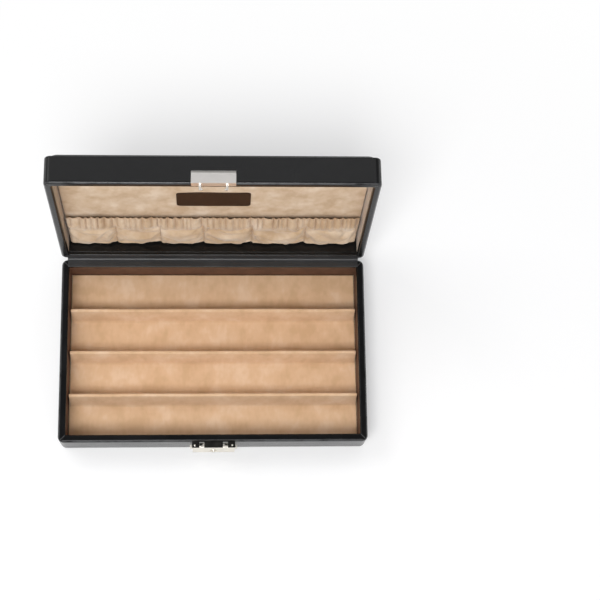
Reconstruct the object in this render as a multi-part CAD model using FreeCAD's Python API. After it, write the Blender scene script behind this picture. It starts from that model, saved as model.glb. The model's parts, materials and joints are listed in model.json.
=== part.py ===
import FreeCAD, Part
import math
import os

# Leather-covered jewellery case in millimetres. The origin is the centre of the underside, X runs to the
# right, Y to the rear and Z up. The lid is modelled shut and then turned about its hinge to the open stop.

# Outside of the case
CASE_WIDTH = 255.0
CASE_DEPTH = 155.5
BASE_HEIGHT = 30.0
LID_HEIGHT = 23.0
CORNER_RADIUS = 5.0
RIM_GAP = 0.6
OPEN_ANGLE = 95.0

# Wall make-up, from the outside in
LEATHER = 1.2
BOARD = 4.0
LINING = 1.0
FLOOR_BOARD = 2.3
LID_BOARD = 3.0
TURN_IN = 2.0
RIM_ROUND = 2.0
RIM_INNER_ROUND = 1.4
INNER_CORNER = 1.0
EDGE_ROUND = 1.5
UNDERSIDE_MARGIN = 8.0
UNDERSIDE_GAP = 0.2

# Raised padded panel on the lid
PANEL_INSET = 4.0
PANEL_RISE = 3.0
PANEL_CORNER = 5.0
PANEL_ROUND = 2.0

# Velour tray with its wedge dividers
TRAY_GAP = 1.4
TRAY_CARD = 0.7
TRAY_VELOUR = 0.9
DIVIDER_COUNT = 3
FIRST_ROW = 35.8
ROW_PITCH = 36.4
DIVIDER_HEIGHT = 17.0
DIVIDER_CORE_TOP = 0.8
DIVIDER_FRONT_RUN = 4.6
DIVIDER_REAR_RUN = 0.8
DIVIDER_VELOUR = 0.8
DIVIDER_ROUND = 0.9

# Upholstered lining of the lid
LINING_GAP = 0.8
LINING_CARD = 2.3
LINING_VELOUR = 1.5
LINING_ROUND = 1.0
PATCH_WIDTH = 59.0
PATCH_LENGTH = 26.0
PATCH_CORNER = 3.5
PATCH_THICK = 0.6
PATCH_FROM_FRONT = 43.5

# Gathered pocket, with its sewn seams counted from the middle of the lid
POCKET_SEAMS = (-80.0, -44.0, -8.0, 32.0, 76.0)
POCKET_END_GAP = 2.0
POCKET_FOOT_GAP = 0.6
POCKET_HEIGHT = 50.0
POCKET_CLOTH = 0.8
POCKET_LIFT = 0.1
POCKET_GATHERS = 4
POCKET_FOOT_BULGE = 3.9
POCKET_BULGE = 4.6
POCKET_NECK_BULGE = 2.3
POCKET_MOUTH_BULGE = 0.5
POCKET_RIPPLE = 0.25
POCKET_NECK_RUFFLE = 0.9
POCKET_RUFFLE = 1.5
POCKET_FOOT_RISE = 2.5
POCKET_BELLY = 20.0
POCKET_HEM = 9.0

# Rear hinges under a leather strip
HINGE_FROM_SIDE = 47.5
HINGE_LENGTH = 32.0
HINGE_BACK = 0.6
KNUCKLES = 5
KNUCKLE_GAP = 0.2
KNUCKLE_CLEAR = 0.4
PIN_RADIUS = 0.7
PIN_CLEAR = 0.05
LEAF_REACH = 5.6
LEAF_CLEAR = 0.2
SCREW_SPACING = 20.0
SCREW_HEAD_RADIUS = 1.5
SCREW_RADIUS = 0.75
SCREW_LENGTH = 8.0
SCREW_POINT = 1.5
STRIP = 0.5
STRIP_END_GAP = 9.0

# Lock case on the front of the base
LOCK_WIDTH = 34.7
LOCK_HEIGHT = 14.5
LOCK_DROP = 1.6
LOCK_TOP_DEPTH = 4.5
LOCK_FOOT_DEPTH = 6.4
LOCK_WALL = 0.7
LOCK_PLATE = 0.8
LOCK_EDGE = 0.5
RIVET_RADIUS = 1.0
RIVET_HEAD_RADIUS = 1.6
RIVET_HEAD = 0.6
LOCK_RIVET_PLACE = 3.5
LOCK_RIVET_DROP = 4.4

# Lock flap on the front of the lid
FLAP_WIDTH = 34.0
FLAP_LIP = 1.3
FLAP_LIP_THICK = 1.4
FLAP_FACE = 8.9
FLAP_ROOF = 3.3
FLAP_TOP_DEPTH = 3.3
FLAP_FOOT_DEPTH = 4.4
FLAP_LEG = 0.8
FLAP_LEG_REACH = 4.0
FLAP_EDGE = 0.3
FLAP_RIVET_PLACE = 9.0
FLAP_RIVET_RISE = 6.0
FLAP_RIVET_GRIP = 1.5

# Hooks under the flap
HOOK_PLACE = 10.2
HOOK_WIDTH = 1.8
HOOK_THICK = 1.2
HOOK_FRONT = 1.4
HOOK_LENGTH = 6.3
HOOK_BARB = 1.0
HOOK_BARB_HEIGHT = 1.2
HOOK_POINT = 0.6
HOOK_CLEAR = 0.5

# Push sliders, one at each side of the lock
SLIDER_TRAVEL = 1.6
SLIDER_FIT = 0.25
TAB_DROP = 3.9
TAB_HEIGHT = 8.0
TAB_PROUD = 0.6
TAB_ROOT = 1.65
TAB_BACK = 1.6
TAB_DEPTH = 2.3
ARM_GAP = 0.3
ARM_THICK = 0.6
ARM_HEIGHT = 4.9
CATCH_WIDTH = 1.4
CATCH_HEIGHT = 1.5
CATCH_GAP = 0.3
SPRING_STRIP = 0.35
SPRING_WIDTH = 2.0
SPRING_RISE = 2.4
SPRING_DROP = 5.0
SPRING_GAP = 0.05
POST_WIDTH = 1.0
POST_DEPTH = 2.8
POST_HEIGHT = 3.0

# Key barrel
KEY_RADIUS = 2.9
KEY_FIT = 0.06
KEY_RISE = 3.7
KEY_PROUD = 0.6
KEYHOLE_REACH = 2.2
KEYHOLE_WIDTH = 2.4
KEYHOLE_WAIST = 0.8
KEYHOLE_DEEP = 2.0
CAM_THICK = 0.8
CAM_WIDTH = 1.6
CAM_REACH = 4.2
CAM_TAIL = 1.2
CAM_GAP = 0.15

# Places that follow from the sizes above
WALL = LEATHER + BOARD + LINING
BOARD_FACE = LEATHER + BOARD
LID_RIM = BASE_HEIGHT + RIM_GAP
LID_TOP = LID_RIM + LID_HEIGHT
FRONT = -CASE_DEPTH / 2
REAR = CASE_DEPTH / 2
HINGE_PLACE = CASE_WIDTH / 2 - HINGE_FROM_SIDE
HINGE_Y = REAR + HINGE_BACK
HINGE_Z = BASE_HEIGHT + RIM_GAP / 2
KNUCKLE_RADIUS = LEATHER + RIM_GAP / 2
LEAF = LEATHER - STRIP
LINING_FACE = LEATHER + LID_BOARD + LINING_CARD + LINING_VELOUR
TRAY_TOP = LEATHER + FLOOR_BOARD + TRAY_CARD + TRAY_VELOUR
LOCK_TOP = BASE_HEIGHT - LOCK_DROP
LOCK_BOTTOM = LOCK_TOP - LOCK_HEIGHT
KEY_Z = LOCK_BOTTOM + KEY_RISE
HOOK_TIP = LID_RIM - HOOK_LENGTH
HOOK_BACK_FACE = HOOK_FRONT + HOOK_THICK
LEVEL_TOLERANCE = 1e-6
OVERSHOOT = 5.0

UP = FreeCAD.Vector(0, 0, 1)
RIGHTWARD = FreeCAD.Vector(1, 0, 0)
OUTWARD = FreeCAD.Vector(0, -1, 0)
MIDDLE = FreeCAD.Vector(0, 0, 0)


def block(x_span, y_span, z_span):
    """A plain box between two limits along each axis."""
    corner = FreeCAD.Vector(min(x_span), min(y_span), min(z_span))
    sides = [max(span) - min(span) for span in (x_span, y_span, z_span)]
    return Part.makeBox(sides[0], sides[1], sides[2], corner)


def rounded_prism(width, depth, radius, z_span):
    """A box centred on the Z axis, with its four upright edges rounded."""
    body = block((-width / 2, width / 2), (-depth / 2, depth / 2), z_span)
    upright = [edge for edge in body.Edges if edge.BoundBox.ZLength > LEVEL_TOLERANCE]
    return body.makeFillet(radius, upright)


def outline(inset, z_span):
    """The case's outline, drawn in by an inset."""
    radius = max(CORNER_RADIUS - inset, INNER_CORNER)
    return rounded_prism(CASE_WIDTH - 2 * inset, CASE_DEPTH - 2 * inset, radius, z_span)


def level_edges(shape, level):
    """The edges of a shape that lie in one level plane."""
    return [
        edge
        for edge in shape.Edges
        if abs(edge.BoundBox.ZMin - level) < LEVEL_TOLERANCE
        and abs(edge.BoundBox.ZMax - level) < LEVEL_TOLERANCE
    ]


def round_level(shape, level, radius):
    """Rounds every edge in one level plane."""
    return shape.makeFillet(radius, level_edges(shape, level))


def side_prism(points, half_width):
    """A profile of (distance in front of the case, height) points, drawn out along X."""
    corners = [FreeCAD.Vector(-half_width, FRONT - out, height) for out, height in points]
    face = Part.Face(Part.makePolygon(corners + corners[:1]))
    return face.extrude(FreeCAD.Vector(2 * half_width, 0, 0))


def mirror_x(shape):
    """The same piece for the other side of the case."""
    return shape.mirror(MIDDLE, RIGHTWARD)


def flip_at_seam(shape):
    """The same piece on the other side of the seam between base and lid."""
    return shape.mirror(FreeCAD.Vector(0, 0, HINGE_Z), UP)


def seat_in_lid(shape):
    """Takes a piece drawn with the lid's top at zero and its rim upwards to its place on the shut lid."""
    turned = shape.mirror(MIDDLE, UP)
    turned.translate(FreeCAD.Vector(0, 0, LID_TOP))
    return turned


def open_lid(shape):
    """Turns a piece of the shut lid about the hinge to the open stop."""
    turned = shape.copy()
    turned.rotate(FreeCAD.Vector(0, HINGE_Y, HINGE_Z), RIGHTWARD, -OPEN_ANGLE)
    return turned


def leather_wrap(height):
    """The leather of one half: outer skin, floor, rim and a turned-in hem, with the rim upwards."""
    hem = height - LEATHER - TURN_IN
    skin = outline(0, (0, height))
    skin = round_level(skin, height, RIM_ROUND)
    skin = round_level(skin, 0, EDGE_ROUND)
    skin = skin.cut(outline(LEATHER, (LEATHER, hem)))
    frame = outline(LEATHER, (hem, height - LEATHER))
    skin = skin.cut(frame.cut(outline(BOARD_FACE, (hem, height - LEATHER))))
    skin = skin.cut(outline(WALL, (hem - OVERSHOOT, height + OVERSHOOT)).common(outline(0, (hem, height))))
    inside_x = CASE_WIDTH / 2 - WALL + LEVEL_TOLERANCE
    inner_edges = [edge for edge in level_edges(skin, height) if edge.BoundBox.XMax < inside_x]
    inner_edges = [edge for edge in inner_edges if edge.BoundBox.XMin > -inside_x]
    inside_y = CASE_DEPTH / 2 - WALL + LEVEL_TOLERANCE
    inner_edges = [edge for edge in inner_edges if abs(edge.CenterOfMass.y) < inside_y]
    return skin.makeFillet(RIM_INNER_ROUND, inner_edges)


def wall_boards(floor, height):
    """The front, rear, left and right boards of one half."""
    span = (LEATHER + floor, height - LEATHER)
    solid = outline(LEATHER, span)
    long_x = (-CASE_WIDTH / 2, CASE_WIDTH / 2)
    side_y = (FRONT + BOARD_FACE, REAR - BOARD_FACE)
    left = block((-CASE_WIDTH / 2 + LEATHER, -CASE_WIDTH / 2 + BOARD_FACE), side_y, span)
    return {
        "front_board": solid.common(block(long_x, (FRONT, FRONT + BOARD_FACE), span)),
        "rear_board": solid.common(block(long_x, (REAR - BOARD_FACE, REAR), span)),
        "left_board": left,
        "right_board": mirror_x(left),
    }


def wall_linings(floor, height):
    """The thin linings on the inner faces of the wall boards."""
    span = (LEATHER + floor, height - LEATHER - TURN_IN)
    half = CASE_WIDTH / 2 - BOARD_FACE
    left = block((-half, -half + LINING), (FRONT + WALL, REAR - WALL), span)
    return {
        "lining_front": block((-half, half), (FRONT + BOARD_FACE, FRONT + WALL), span),
        "lining_rear": block((-half, half), (REAR - WALL, REAR - BOARD_FACE), span),
        "lining_left": left,
        "lining_right": mirror_x(left),
    }


def hinge_screw(centre_x):
    """A countersunk screw in the base's rear board, with its head flush in the leaf."""
    y = REAR - LEATHER - BOARD / 2
    face = BASE_HEIGHT - STRIP
    down = FreeCAD.Vector(0, 0, -1)
    head = Part.makeCone(SCREW_HEAD_RADIUS, SCREW_RADIUS, LEAF, FreeCAD.Vector(centre_x, y, face), down)
    neck = FreeCAD.Vector(centre_x, y, face - LEAF)
    shank = Part.makeCylinder(SCREW_RADIUS, SCREW_LENGTH, neck, down)
    tip = Part.makeCone(SCREW_RADIUS, 0, SCREW_POINT, neck + down * SCREW_LENGTH, down)
    return head.fuse([shank, tip]).removeSplitter()


def hinge_places():
    """The middles of the two hinges."""
    return (-HINGE_PLACE, HINGE_PLACE)


def hinge_screws():
    """The four screws of the base's two leaves."""
    offsets = (-SCREW_SPACING / 2, SCREW_SPACING / 2)
    return [hinge_screw(place + offset) for place in hinge_places() for offset in offsets]


def along_hinge(radius, start, length):
    """A round bar on the hinge axis."""
    return Part.makeCylinder(radius, length, FreeCAD.Vector(start, HINGE_Y, HINGE_Z), RIGHTWARD)


def hinge_leaf(centre_x, own):
    """One leaf, drawn on the base's side: a plate and every second knuckle, beginning with number own."""
    start = centre_x - HINGE_LENGTH / 2
    step = HINGE_LENGTH / KNUCKLES
    level = (BASE_HEIGHT - LEATHER, BASE_HEIGHT - STRIP)
    leaf = block((start, start + HINGE_LENGTH), (REAR - LEAF_REACH, HINGE_Y), level)
    for number in range(1 - own, KNUCKLES, 2):
        begin = start + number * step - KNUCKLE_GAP
        leaf = leaf.cut(along_hinge(KNUCKLE_RADIUS + KNUCKLE_CLEAR, begin, step + 2 * KNUCKLE_GAP))
    knuckle = step - KNUCKLE_GAP
    for number in range(own, KNUCKLES, 2):
        leaf = leaf.fuse(along_hinge(KNUCKLE_RADIUS, start + number * step + KNUCKLE_GAP / 2, knuckle))
    leaf = leaf.cut(along_hinge(PIN_RADIUS + PIN_CLEAR, start, HINGE_LENGTH))
    for screw in hinge_screws():
        leaf = leaf.cut(screw)
    return leaf.removeSplitter()


def hinge_strip():
    """The leather strip over the base's rear rim, from its inner edge to the knuckles."""
    half = CASE_WIDTH / 2 - STRIP_END_GAP
    back = HINGE_Y - KNUCKLE_RADIUS - KNUCKLE_CLEAR
    return block((-half, half), (REAR - WALL, back), (BASE_HEIGHT - STRIP, BASE_HEIGHT))


def hinge_room():
    """What the base's leather gives up to the strip, the leaves and the knuckles."""
    half = CASE_WIDTH / 2 - STRIP_END_GAP
    rear = REAR + OVERSHOOT
    room = [block((-half, half), (REAR - WALL, rear), (BASE_HEIGHT - STRIP, LID_RIM))]
    for place in hinge_places():
        start = place - HINGE_LENGTH / 2
        sides = (start - LEAF_CLEAR, start + HINGE_LENGTH + LEAF_CLEAR)
        level = (BASE_HEIGHT - LEATHER, LID_RIM)
        room.append(block(sides, (REAR - LEAF_REACH - LEAF_CLEAR, rear), level))
        length = HINGE_LENGTH + 2 * KNUCKLE_CLEAR
        room.append(along_hinge(KNUCKLE_RADIUS + KNUCKLE_CLEAR, start - KNUCKLE_CLEAR, length))
    return room


def cut_all(shape, cutters):
    """Takes several shapes out of one."""
    for cutter in cutters:
        shape = shape.cut(cutter)
    return shape


def divider_profile(inset, place):
    """A divider's wedge in the YZ plane, from its foot to its top, drawn in from the velour's face."""
    top_half = DIVIDER_CORE_TOP / 2 + DIVIDER_VELOUR
    front_shift = inset * math.hypot(DIVIDER_HEIGHT, DIVIDER_FRONT_RUN) / DIVIDER_HEIGHT
    rear_shift = inset * math.hypot(DIVIDER_HEIGHT, DIVIDER_REAR_RUN) / DIVIDER_HEIGHT
    top = DIVIDER_HEIGHT - inset
    foot_share = 1 - top / DIVIDER_HEIGHT
    front_top = place - top_half - DIVIDER_FRONT_RUN * foot_share + front_shift
    rear_top = place + top_half + DIVIDER_REAR_RUN * foot_share - rear_shift
    front_foot = place - top_half - DIVIDER_FRONT_RUN + front_shift
    rear_foot = place + top_half + DIVIDER_REAR_RUN - rear_shift
    high = TRAY_TOP + top
    return [(front_foot, TRAY_TOP), (front_top, high), (rear_top, high), (rear_foot, TRAY_TOP)]


def divider_wedge(inset, place):
    """A divider's solid wedge, drawn in from the velour's face on every side but its foot."""
    half = CASE_WIDTH / 2 - WALL - TRAY_GAP - inset
    corners = [FreeCAD.Vector(-half, y, z) for y, z in divider_profile(inset, place)]
    face = Part.Face(Part.makePolygon(corners + corners[:1]))
    return face.extrude(FreeCAD.Vector(2 * half, 0, 0))


def dividers():
    """The dividers' card cores and velour covers, from the rear to the front."""
    pieces = {}
    for number in range(DIVIDER_COUNT):
        place = REAR - WALL - FIRST_ROW - number * ROW_PITCH
        core = divider_wedge(DIVIDER_VELOUR, place)
        cover = divider_wedge(0, place)
        cover = round_level(cover, TRAY_TOP + DIVIDER_HEIGHT, DIVIDER_ROUND)
        pieces[f"divider_core_{number + 1}"] = core
        pieces[f"divider_velour_{number + 1}"] = cover.cut(core)
    return pieces


def tray():
    """The card floor of the tray and the velour on it."""
    inset = WALL + TRAY_GAP
    floor = LEATHER + FLOOR_BOARD
    return {
        "tray_card": outline(inset, (floor, floor + TRAY_CARD)),
        "tray_velour": outline(inset, (floor + TRAY_CARD, TRAY_TOP)),
    }


def pocket_levels():
    """The pocket's height above its foot, its bulge and the depth of its gathers, level by level."""
    return (
        (0, 0, POCKET_RIPPLE),
        (POCKET_FOOT_RISE, POCKET_FOOT_BULGE, POCKET_RIPPLE),
        (POCKET_BELLY, POCKET_BULGE, POCKET_RIPPLE),
        (POCKET_HEIGHT - POCKET_HEM, POCKET_NECK_BULGE, POCKET_NECK_RUFFLE),
        (POCKET_HEIGHT, POCKET_MOUTH_BULGE, POCKET_RUFFLE),
    )


def pocket_edge(y, bulge, ripple, depth):
    """One side of the cloth at one level: an arc for each gather, from the left end to the right."""
    half = CASE_WIDTH / 2 - WALL - POCKET_END_GAP
    stops = (-half,) + POCKET_SEAMS + (half,)

    def point(left, right, share, extra):
        lift = depth + bulge * math.sin(math.pi * share) + extra
        return FreeCAD.Vector(left + (right - left) * share, y, LINING_FACE + lift)

    arcs = []
    for left, right in zip(stops, stops[1:]):
        for gather in range(POCKET_GATHERS):
            start = point(left, right, gather / POCKET_GATHERS, 0)
            crest = point(left, right, (gather + 0.5) / POCKET_GATHERS, ripple)
            end = point(left, right, (gather + 1) / POCKET_GATHERS, 0)
            arcs.append(Part.Arc(start, crest, end).toShape())
    return arcs


def pocket():
    """The gathered pocket: six sewn bags of one cloth, open at the ruffled hem."""
    foot = REAR - WALL - LINING_GAP - POCKET_FOOT_GAP
    sections = []
    for height, bulge, ripple in pocket_levels():
        outer = pocket_edge(foot - height, bulge, ripple, POCKET_LIFT + POCKET_CLOTH)
        inner = pocket_edge(foot - height, bulge, ripple, POCKET_LIFT)
        ends = [
            Part.LineSegment(outer[0].Vertexes[0].Point, inner[0].Vertexes[0].Point).toShape(),
            Part.LineSegment(outer[-1].Vertexes[-1].Point, inner[-1].Vertexes[-1].Point).toShape(),
        ]
        sections.append(Part.Wire(Part.__sortEdges__(outer + inner + ends)))
    return Part.makeLoft(sections, True, True)


def lid_lining():
    """The card of the lid's lining, the velour wrapped round it and the leather patch on it."""
    start = LEATHER + LID_BOARD
    inset = WALL + LINING_GAP
    card = outline(inset + LINING_VELOUR, (start, start + LINING_CARD))
    velour = outline(inset, (start, LINING_FACE))
    velour = round_level(velour, LINING_FACE, LINING_ROUND).cut(card)
    patch = rounded_prism(PATCH_WIDTH, PATCH_LENGTH, PATCH_CORNER, (LINING_FACE, LINING_FACE + PATCH_THICK))
    patch.translate(FreeCAD.Vector(0, FRONT + WALL + PATCH_FROM_FRONT + PATCH_LENGTH / 2, 0))
    return {"lid_lining_card": card, "lid_lining_velour": velour, "label_patch": patch}


def lid_panel():
    """The padded panel on the lid's top: a foam pad under leather."""
    def slab(inset, low):
        radius = max(PANEL_CORNER - inset, INNER_CORNER)
        width = CASE_WIDTH - 2 * (PANEL_INSET + inset)
        return rounded_prism(width, CASE_DEPTH - 2 * (PANEL_INSET + inset), radius, (low, 0))

    pad = slab(LEATHER, LEATHER - PANEL_RISE)
    leather = round_level(slab(0, -PANEL_RISE), -PANEL_RISE, PANEL_ROUND).cut(pad)
    return {"lid_pad": pad, "lid_panel_leather": leather}


def front_rivet(x, z, out):
    """A rivet through a front wall, from a distance in front of the case to a head sunk in the board."""
    start = FreeCAD.Vector(x, FRONT - out, z)
    shank = Part.makeCylinder(RIVET_RADIUS, out + BOARD_FACE, start, FreeCAD.Vector(0, 1, 0))
    seat = FreeCAD.Vector(x, FRONT + BOARD_FACE - RIVET_HEAD, z)
    head = Part.makeCylinder(RIVET_HEAD_RADIUS, RIVET_HEAD, seat, FreeCAD.Vector(0, 1, 0))
    return shank.fuse(head).removeSplitter()


def lock_rivets():
    """The two rivets of the lock's back plate, with a second head in front of the plate."""
    rivets = []
    for x in (-LOCK_RIVET_PLACE, LOCK_RIVET_PLACE):
        z = LOCK_TOP - LOCK_RIVET_DROP
        rivet = front_rivet(x, z, LOCK_PLATE)
        start = FreeCAD.Vector(x, FRONT - LOCK_PLATE, z)
        head = Part.makeCylinder(RIVET_HEAD_RADIUS, RIVET_HEAD, start, OUTWARD)
        rivets.append(rivet.fuse(head).removeSplitter())
    return rivets


def flap_rivets():
    """The two rivets of the lock flap."""
    places = (-FLAP_RIVET_PLACE, FLAP_RIVET_PLACE)
    return [front_rivet(x, LID_RIM + FLAP_RIVET_RISE, FLAP_RIVET_GRIP) for x in places]


def lock_front(height):
    """How far the sloping front of the lock case stands out at a height."""
    share = (LOCK_TOP - height) / LOCK_HEIGHT
    return LOCK_TOP_DEPTH + (LOCK_FOOT_DEPTH - LOCK_TOP_DEPTH) * share


def lock_case():
    """The lock's pressed cover: sloping front, slots for the hooks, windows for the tabs, key hole."""
    top_inside = LOCK_TOP - LOCK_WALL
    foot_inside = LOCK_BOTTOM + LOCK_WALL
    outer = [
        (LOCK_PLATE, LOCK_TOP),
        (LOCK_TOP_DEPTH, LOCK_TOP),
        (LOCK_FOOT_DEPTH, LOCK_BOTTOM),
        (LOCK_PLATE, LOCK_BOTTOM),
    ]
    inner = [
        (LOCK_PLATE, top_inside),
        (lock_front(top_inside) - LOCK_WALL, top_inside),
        (lock_front(foot_inside) - LOCK_WALL, foot_inside),
        (LOCK_PLATE, foot_inside),
    ]
    body = side_prism(outer, LOCK_WIDTH / 2)
    near = FRONT - (LOCK_PLATE + LOCK_TOP_DEPTH) / 2
    front_edges = [edge for edge in body.Edges if edge.BoundBox.YMax < near]
    body = body.makeFillet(LOCK_EDGE, front_edges)
    body = body.cut(side_prism(inner, LOCK_WIDTH / 2 - LOCK_WALL))
    slot = block(
        (HOOK_PLACE - HOOK_WIDTH / 2 - HOOK_BARB - HOOK_CLEAR, HOOK_PLACE + HOOK_WIDTH / 2 + HOOK_CLEAR),
        (FRONT - HOOK_FRONT + HOOK_CLEAR, FRONT - HOOK_BACK_FACE - HOOK_CLEAR),
        (top_inside - LOCK_WALL, LOCK_TOP + LOCK_WALL),
    )
    window = block(
        (LOCK_WIDTH / 2 - 2 * LOCK_WALL, LOCK_WIDTH / 2 + LOCK_WALL),
        (FRONT - TAB_BACK + SLIDER_FIT, FRONT - TAB_BACK - TAB_DEPTH - SLIDER_FIT),
        (LOCK_TOP - TAB_DROP + SLIDER_FIT, LOCK_TOP - TAB_DROP - TAB_HEIGHT - SLIDER_FIT),
    )
    key_seat = FreeCAD.Vector(0, FRONT - LOCK_PLATE, KEY_Z)
    hole = Part.makeCylinder(KEY_RADIUS + KEY_FIT, LOCK_FOOT_DEPTH, key_seat, OUTWARD)
    return cut_all(body, [slot, mirror_x(slot), window, mirror_x(window), hole])


def arm_start():
    """The inner end of the right-hand slider's arm, beside the hook's stem."""
    return HOOK_PLACE - HOOK_WIDTH / 2 - CATCH_GAP - CATCH_WIDTH


def tab_start():
    """The inner end of the right-hand slider's tab."""
    return LOCK_WIDTH / 2 - LOCK_WALL - TAB_ROOT


def spring_level():
    """The heights between which the springs lie."""
    middle = LOCK_TOP - TAB_DROP - SPRING_DROP
    return (middle - SPRING_WIDTH / 2, middle + SPRING_WIDTH / 2)


def lock_back_plate():
    """The plate behind the lock, with a post for each spring."""
    half = LOCK_WIDTH / 2
    plate = block((-half, half), (FRONT, FRONT - LOCK_PLATE), (LOCK_BOTTOM, LOCK_TOP))
    middle = sum(spring_level()) / 2
    post = block(
        (arm_start() - POST_WIDTH, arm_start()),
        (FRONT, FRONT - LOCK_PLATE - POST_DEPTH),
        (middle - POST_HEIGHT / 2, middle + POST_HEIGHT / 2),
    )
    plate = plate.fuse([post, mirror_x(post)]).removeSplitter()
    return cut_all(plate, lock_rivets())


def lock_spring():
    """The right-hand slider's spring: a bent strip between its post and the tab."""
    post = arm_start() + SPRING_GAP
    tab = tab_start() - SPRING_GAP
    foot = LOCK_PLATE + SPRING_GAP
    top = foot + SPRING_RISE
    low, high = spring_level()
    points = [
        (post, top),
        (post + SPRING_STRIP, top),
        (post + SPRING_STRIP, foot + SPRING_STRIP),
        (tab, top),
        (tab, top - SPRING_STRIP),
        (post + SPRING_STRIP, foot),
        (post, foot),
    ]
    corners = [FreeCAD.Vector(x, FRONT - out, low) for x, out in points]
    face = Part.Face(Part.makePolygon(corners + corners[:1]))
    return face.extrude(FreeCAD.Vector(0, 0, high - low))


def slider():
    """The right-hand push slider: a tab outside, an arm in front of the hook and a catch over its barb."""
    tab_top = LOCK_TOP - TAB_DROP
    tab = block(
        (tab_start(), LOCK_WIDTH / 2 + SLIDER_TRAVEL + TAB_PROUD),
        (FRONT - TAB_BACK, FRONT - TAB_BACK - TAB_DEPTH),
        (tab_top, tab_top - TAB_HEIGHT),
    )
    outer_face = [edge for edge in tab.Edges if edge.BoundBox.XMin > LOCK_WIDTH / 2]
    tab = tab.makeFillet(LOCK_EDGE, outer_face)
    arm_top = HOOK_TIP + HOOK_BARB_HEIGHT + CATCH_GAP + CATCH_HEIGHT
    arm_face = HOOK_BACK_FACE + ARM_GAP
    arm = block(
        (arm_start(), tab_start() + ARM_THICK),
        (FRONT - arm_face, FRONT - arm_face - ARM_THICK),
        (arm_top, arm_top - ARM_HEIGHT),
    )
    catch = block(
        (arm_start(), arm_start() + CATCH_WIDTH),
        (FRONT - HOOK_FRONT, FRONT - arm_face),
        (arm_top, arm_top - CATCH_HEIGHT),
    )
    return tab.fuse([arm, catch]).removeSplitter()


def key_barrel():
    """The key barrel with an hourglass keyhole in its face."""
    start = LOCK_PLATE + CAM_GAP + CAM_THICK
    face = lock_front(KEY_Z) + KEY_PROUD
    barrel = Part.makeCylinder(KEY_RADIUS, face - start, FreeCAD.Vector(0, FRONT - start, KEY_Z), OUTWARD)
    rim = [edge for edge in barrel.Edges if edge.BoundBox.YMax < FRONT - face + LEVEL_TOLERANCE]
    barrel = barrel.makeFillet(LOCK_WALL / 2, rim)
    half_waist = KEYHOLE_WAIST / 2
    half_end = KEYHOLE_WIDTH / 2
    shape = [
        (-half_end, KEYHOLE_REACH),
        (half_end, KEYHOLE_REACH),
        (half_waist, 0),
        (half_end, -KEYHOLE_REACH),
        (-half_end, -KEYHOLE_REACH),
        (-half_waist, 0),
    ]
    corners = [FreeCAD.Vector(x, FRONT - face, KEY_Z + z) for x, z in shape]
    hole = Part.Face(Part.makePolygon(corners + corners[:1])).extrude(FreeCAD.Vector(0, KEYHOLE_DEEP, 0))
    return barrel.cut(hole)


def key_cam():
    """The cam on the inner end of the key barrel."""
    start = LOCK_PLATE + CAM_GAP
    span = (FRONT - start, FRONT - start - CAM_THICK)
    return block((-CAM_WIDTH / 2, CAM_WIDTH / 2), span, (KEY_Z - CAM_TAIL, KEY_Z + CAM_REACH))


def flap_leg():
    """The leg of the flap that lies in the lid's rim."""
    half = FLAP_WIDTH / 2
    inner = FRONT + FLAP_LEG_REACH
    return block((-half, half), (FRONT, inner), (LID_RIM, LID_RIM + FLAP_LEG))


def lock_flap():
    """The lock's upper plate: a sloping roof, a front that leans as the case does and a leg in the rim."""
    lip = LID_RIM - FLAP_LIP
    inner_lip = FLAP_FOOT_DEPTH - FLAP_LIP_THICK
    points = [
        (0, lip + FLAP_FACE + FLAP_ROOF),
        (FLAP_TOP_DEPTH, lip + FLAP_FACE),
        (FLAP_FOOT_DEPTH, lip),
        (inner_lip, lip),
        (inner_lip, LID_RIM),
        (0, LID_RIM),
    ]
    body = side_prism(points, FLAP_WIDTH / 2)
    near = FRONT - (FLAP_TOP_DEPTH + inner_lip) / 2
    front_edges = [edge for edge in body.Edges if edge.BoundBox.YMax < near]
    front_edges = [edge for edge in front_edges if edge.BoundBox.ZMax > LID_RIM]
    body = body.makeFillet(FLAP_EDGE, front_edges)
    return cut_all(body.fuse(flap_leg()).removeSplitter(), flap_rivets())


def hook():
    """The right-hand hook under the flap, with its barb towards the middle."""
    inner = HOOK_PLACE - HOOK_WIDTH / 2
    outer = HOOK_PLACE + HOOK_WIDTH / 2
    points = [
        (outer, LID_RIM),
        (outer, HOOK_TIP + HOOK_POINT),
        (outer - HOOK_POINT, HOOK_TIP),
        (inner - HOOK_BARB + HOOK_POINT, HOOK_TIP),
        (inner - HOOK_BARB, HOOK_TIP + HOOK_POINT),
        (inner - HOOK_BARB, HOOK_TIP + HOOK_BARB_HEIGHT),
        (inner, HOOK_TIP + HOOK_BARB_HEIGHT),
        (inner, LID_RIM),
    ]
    corners = [FreeCAD.Vector(x, FRONT - HOOK_FRONT, z) for x, z in points]
    face = Part.Face(Part.makePolygon(corners + corners[:1]))
    return face.extrude(OUTWARD * HOOK_THICK)


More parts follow.
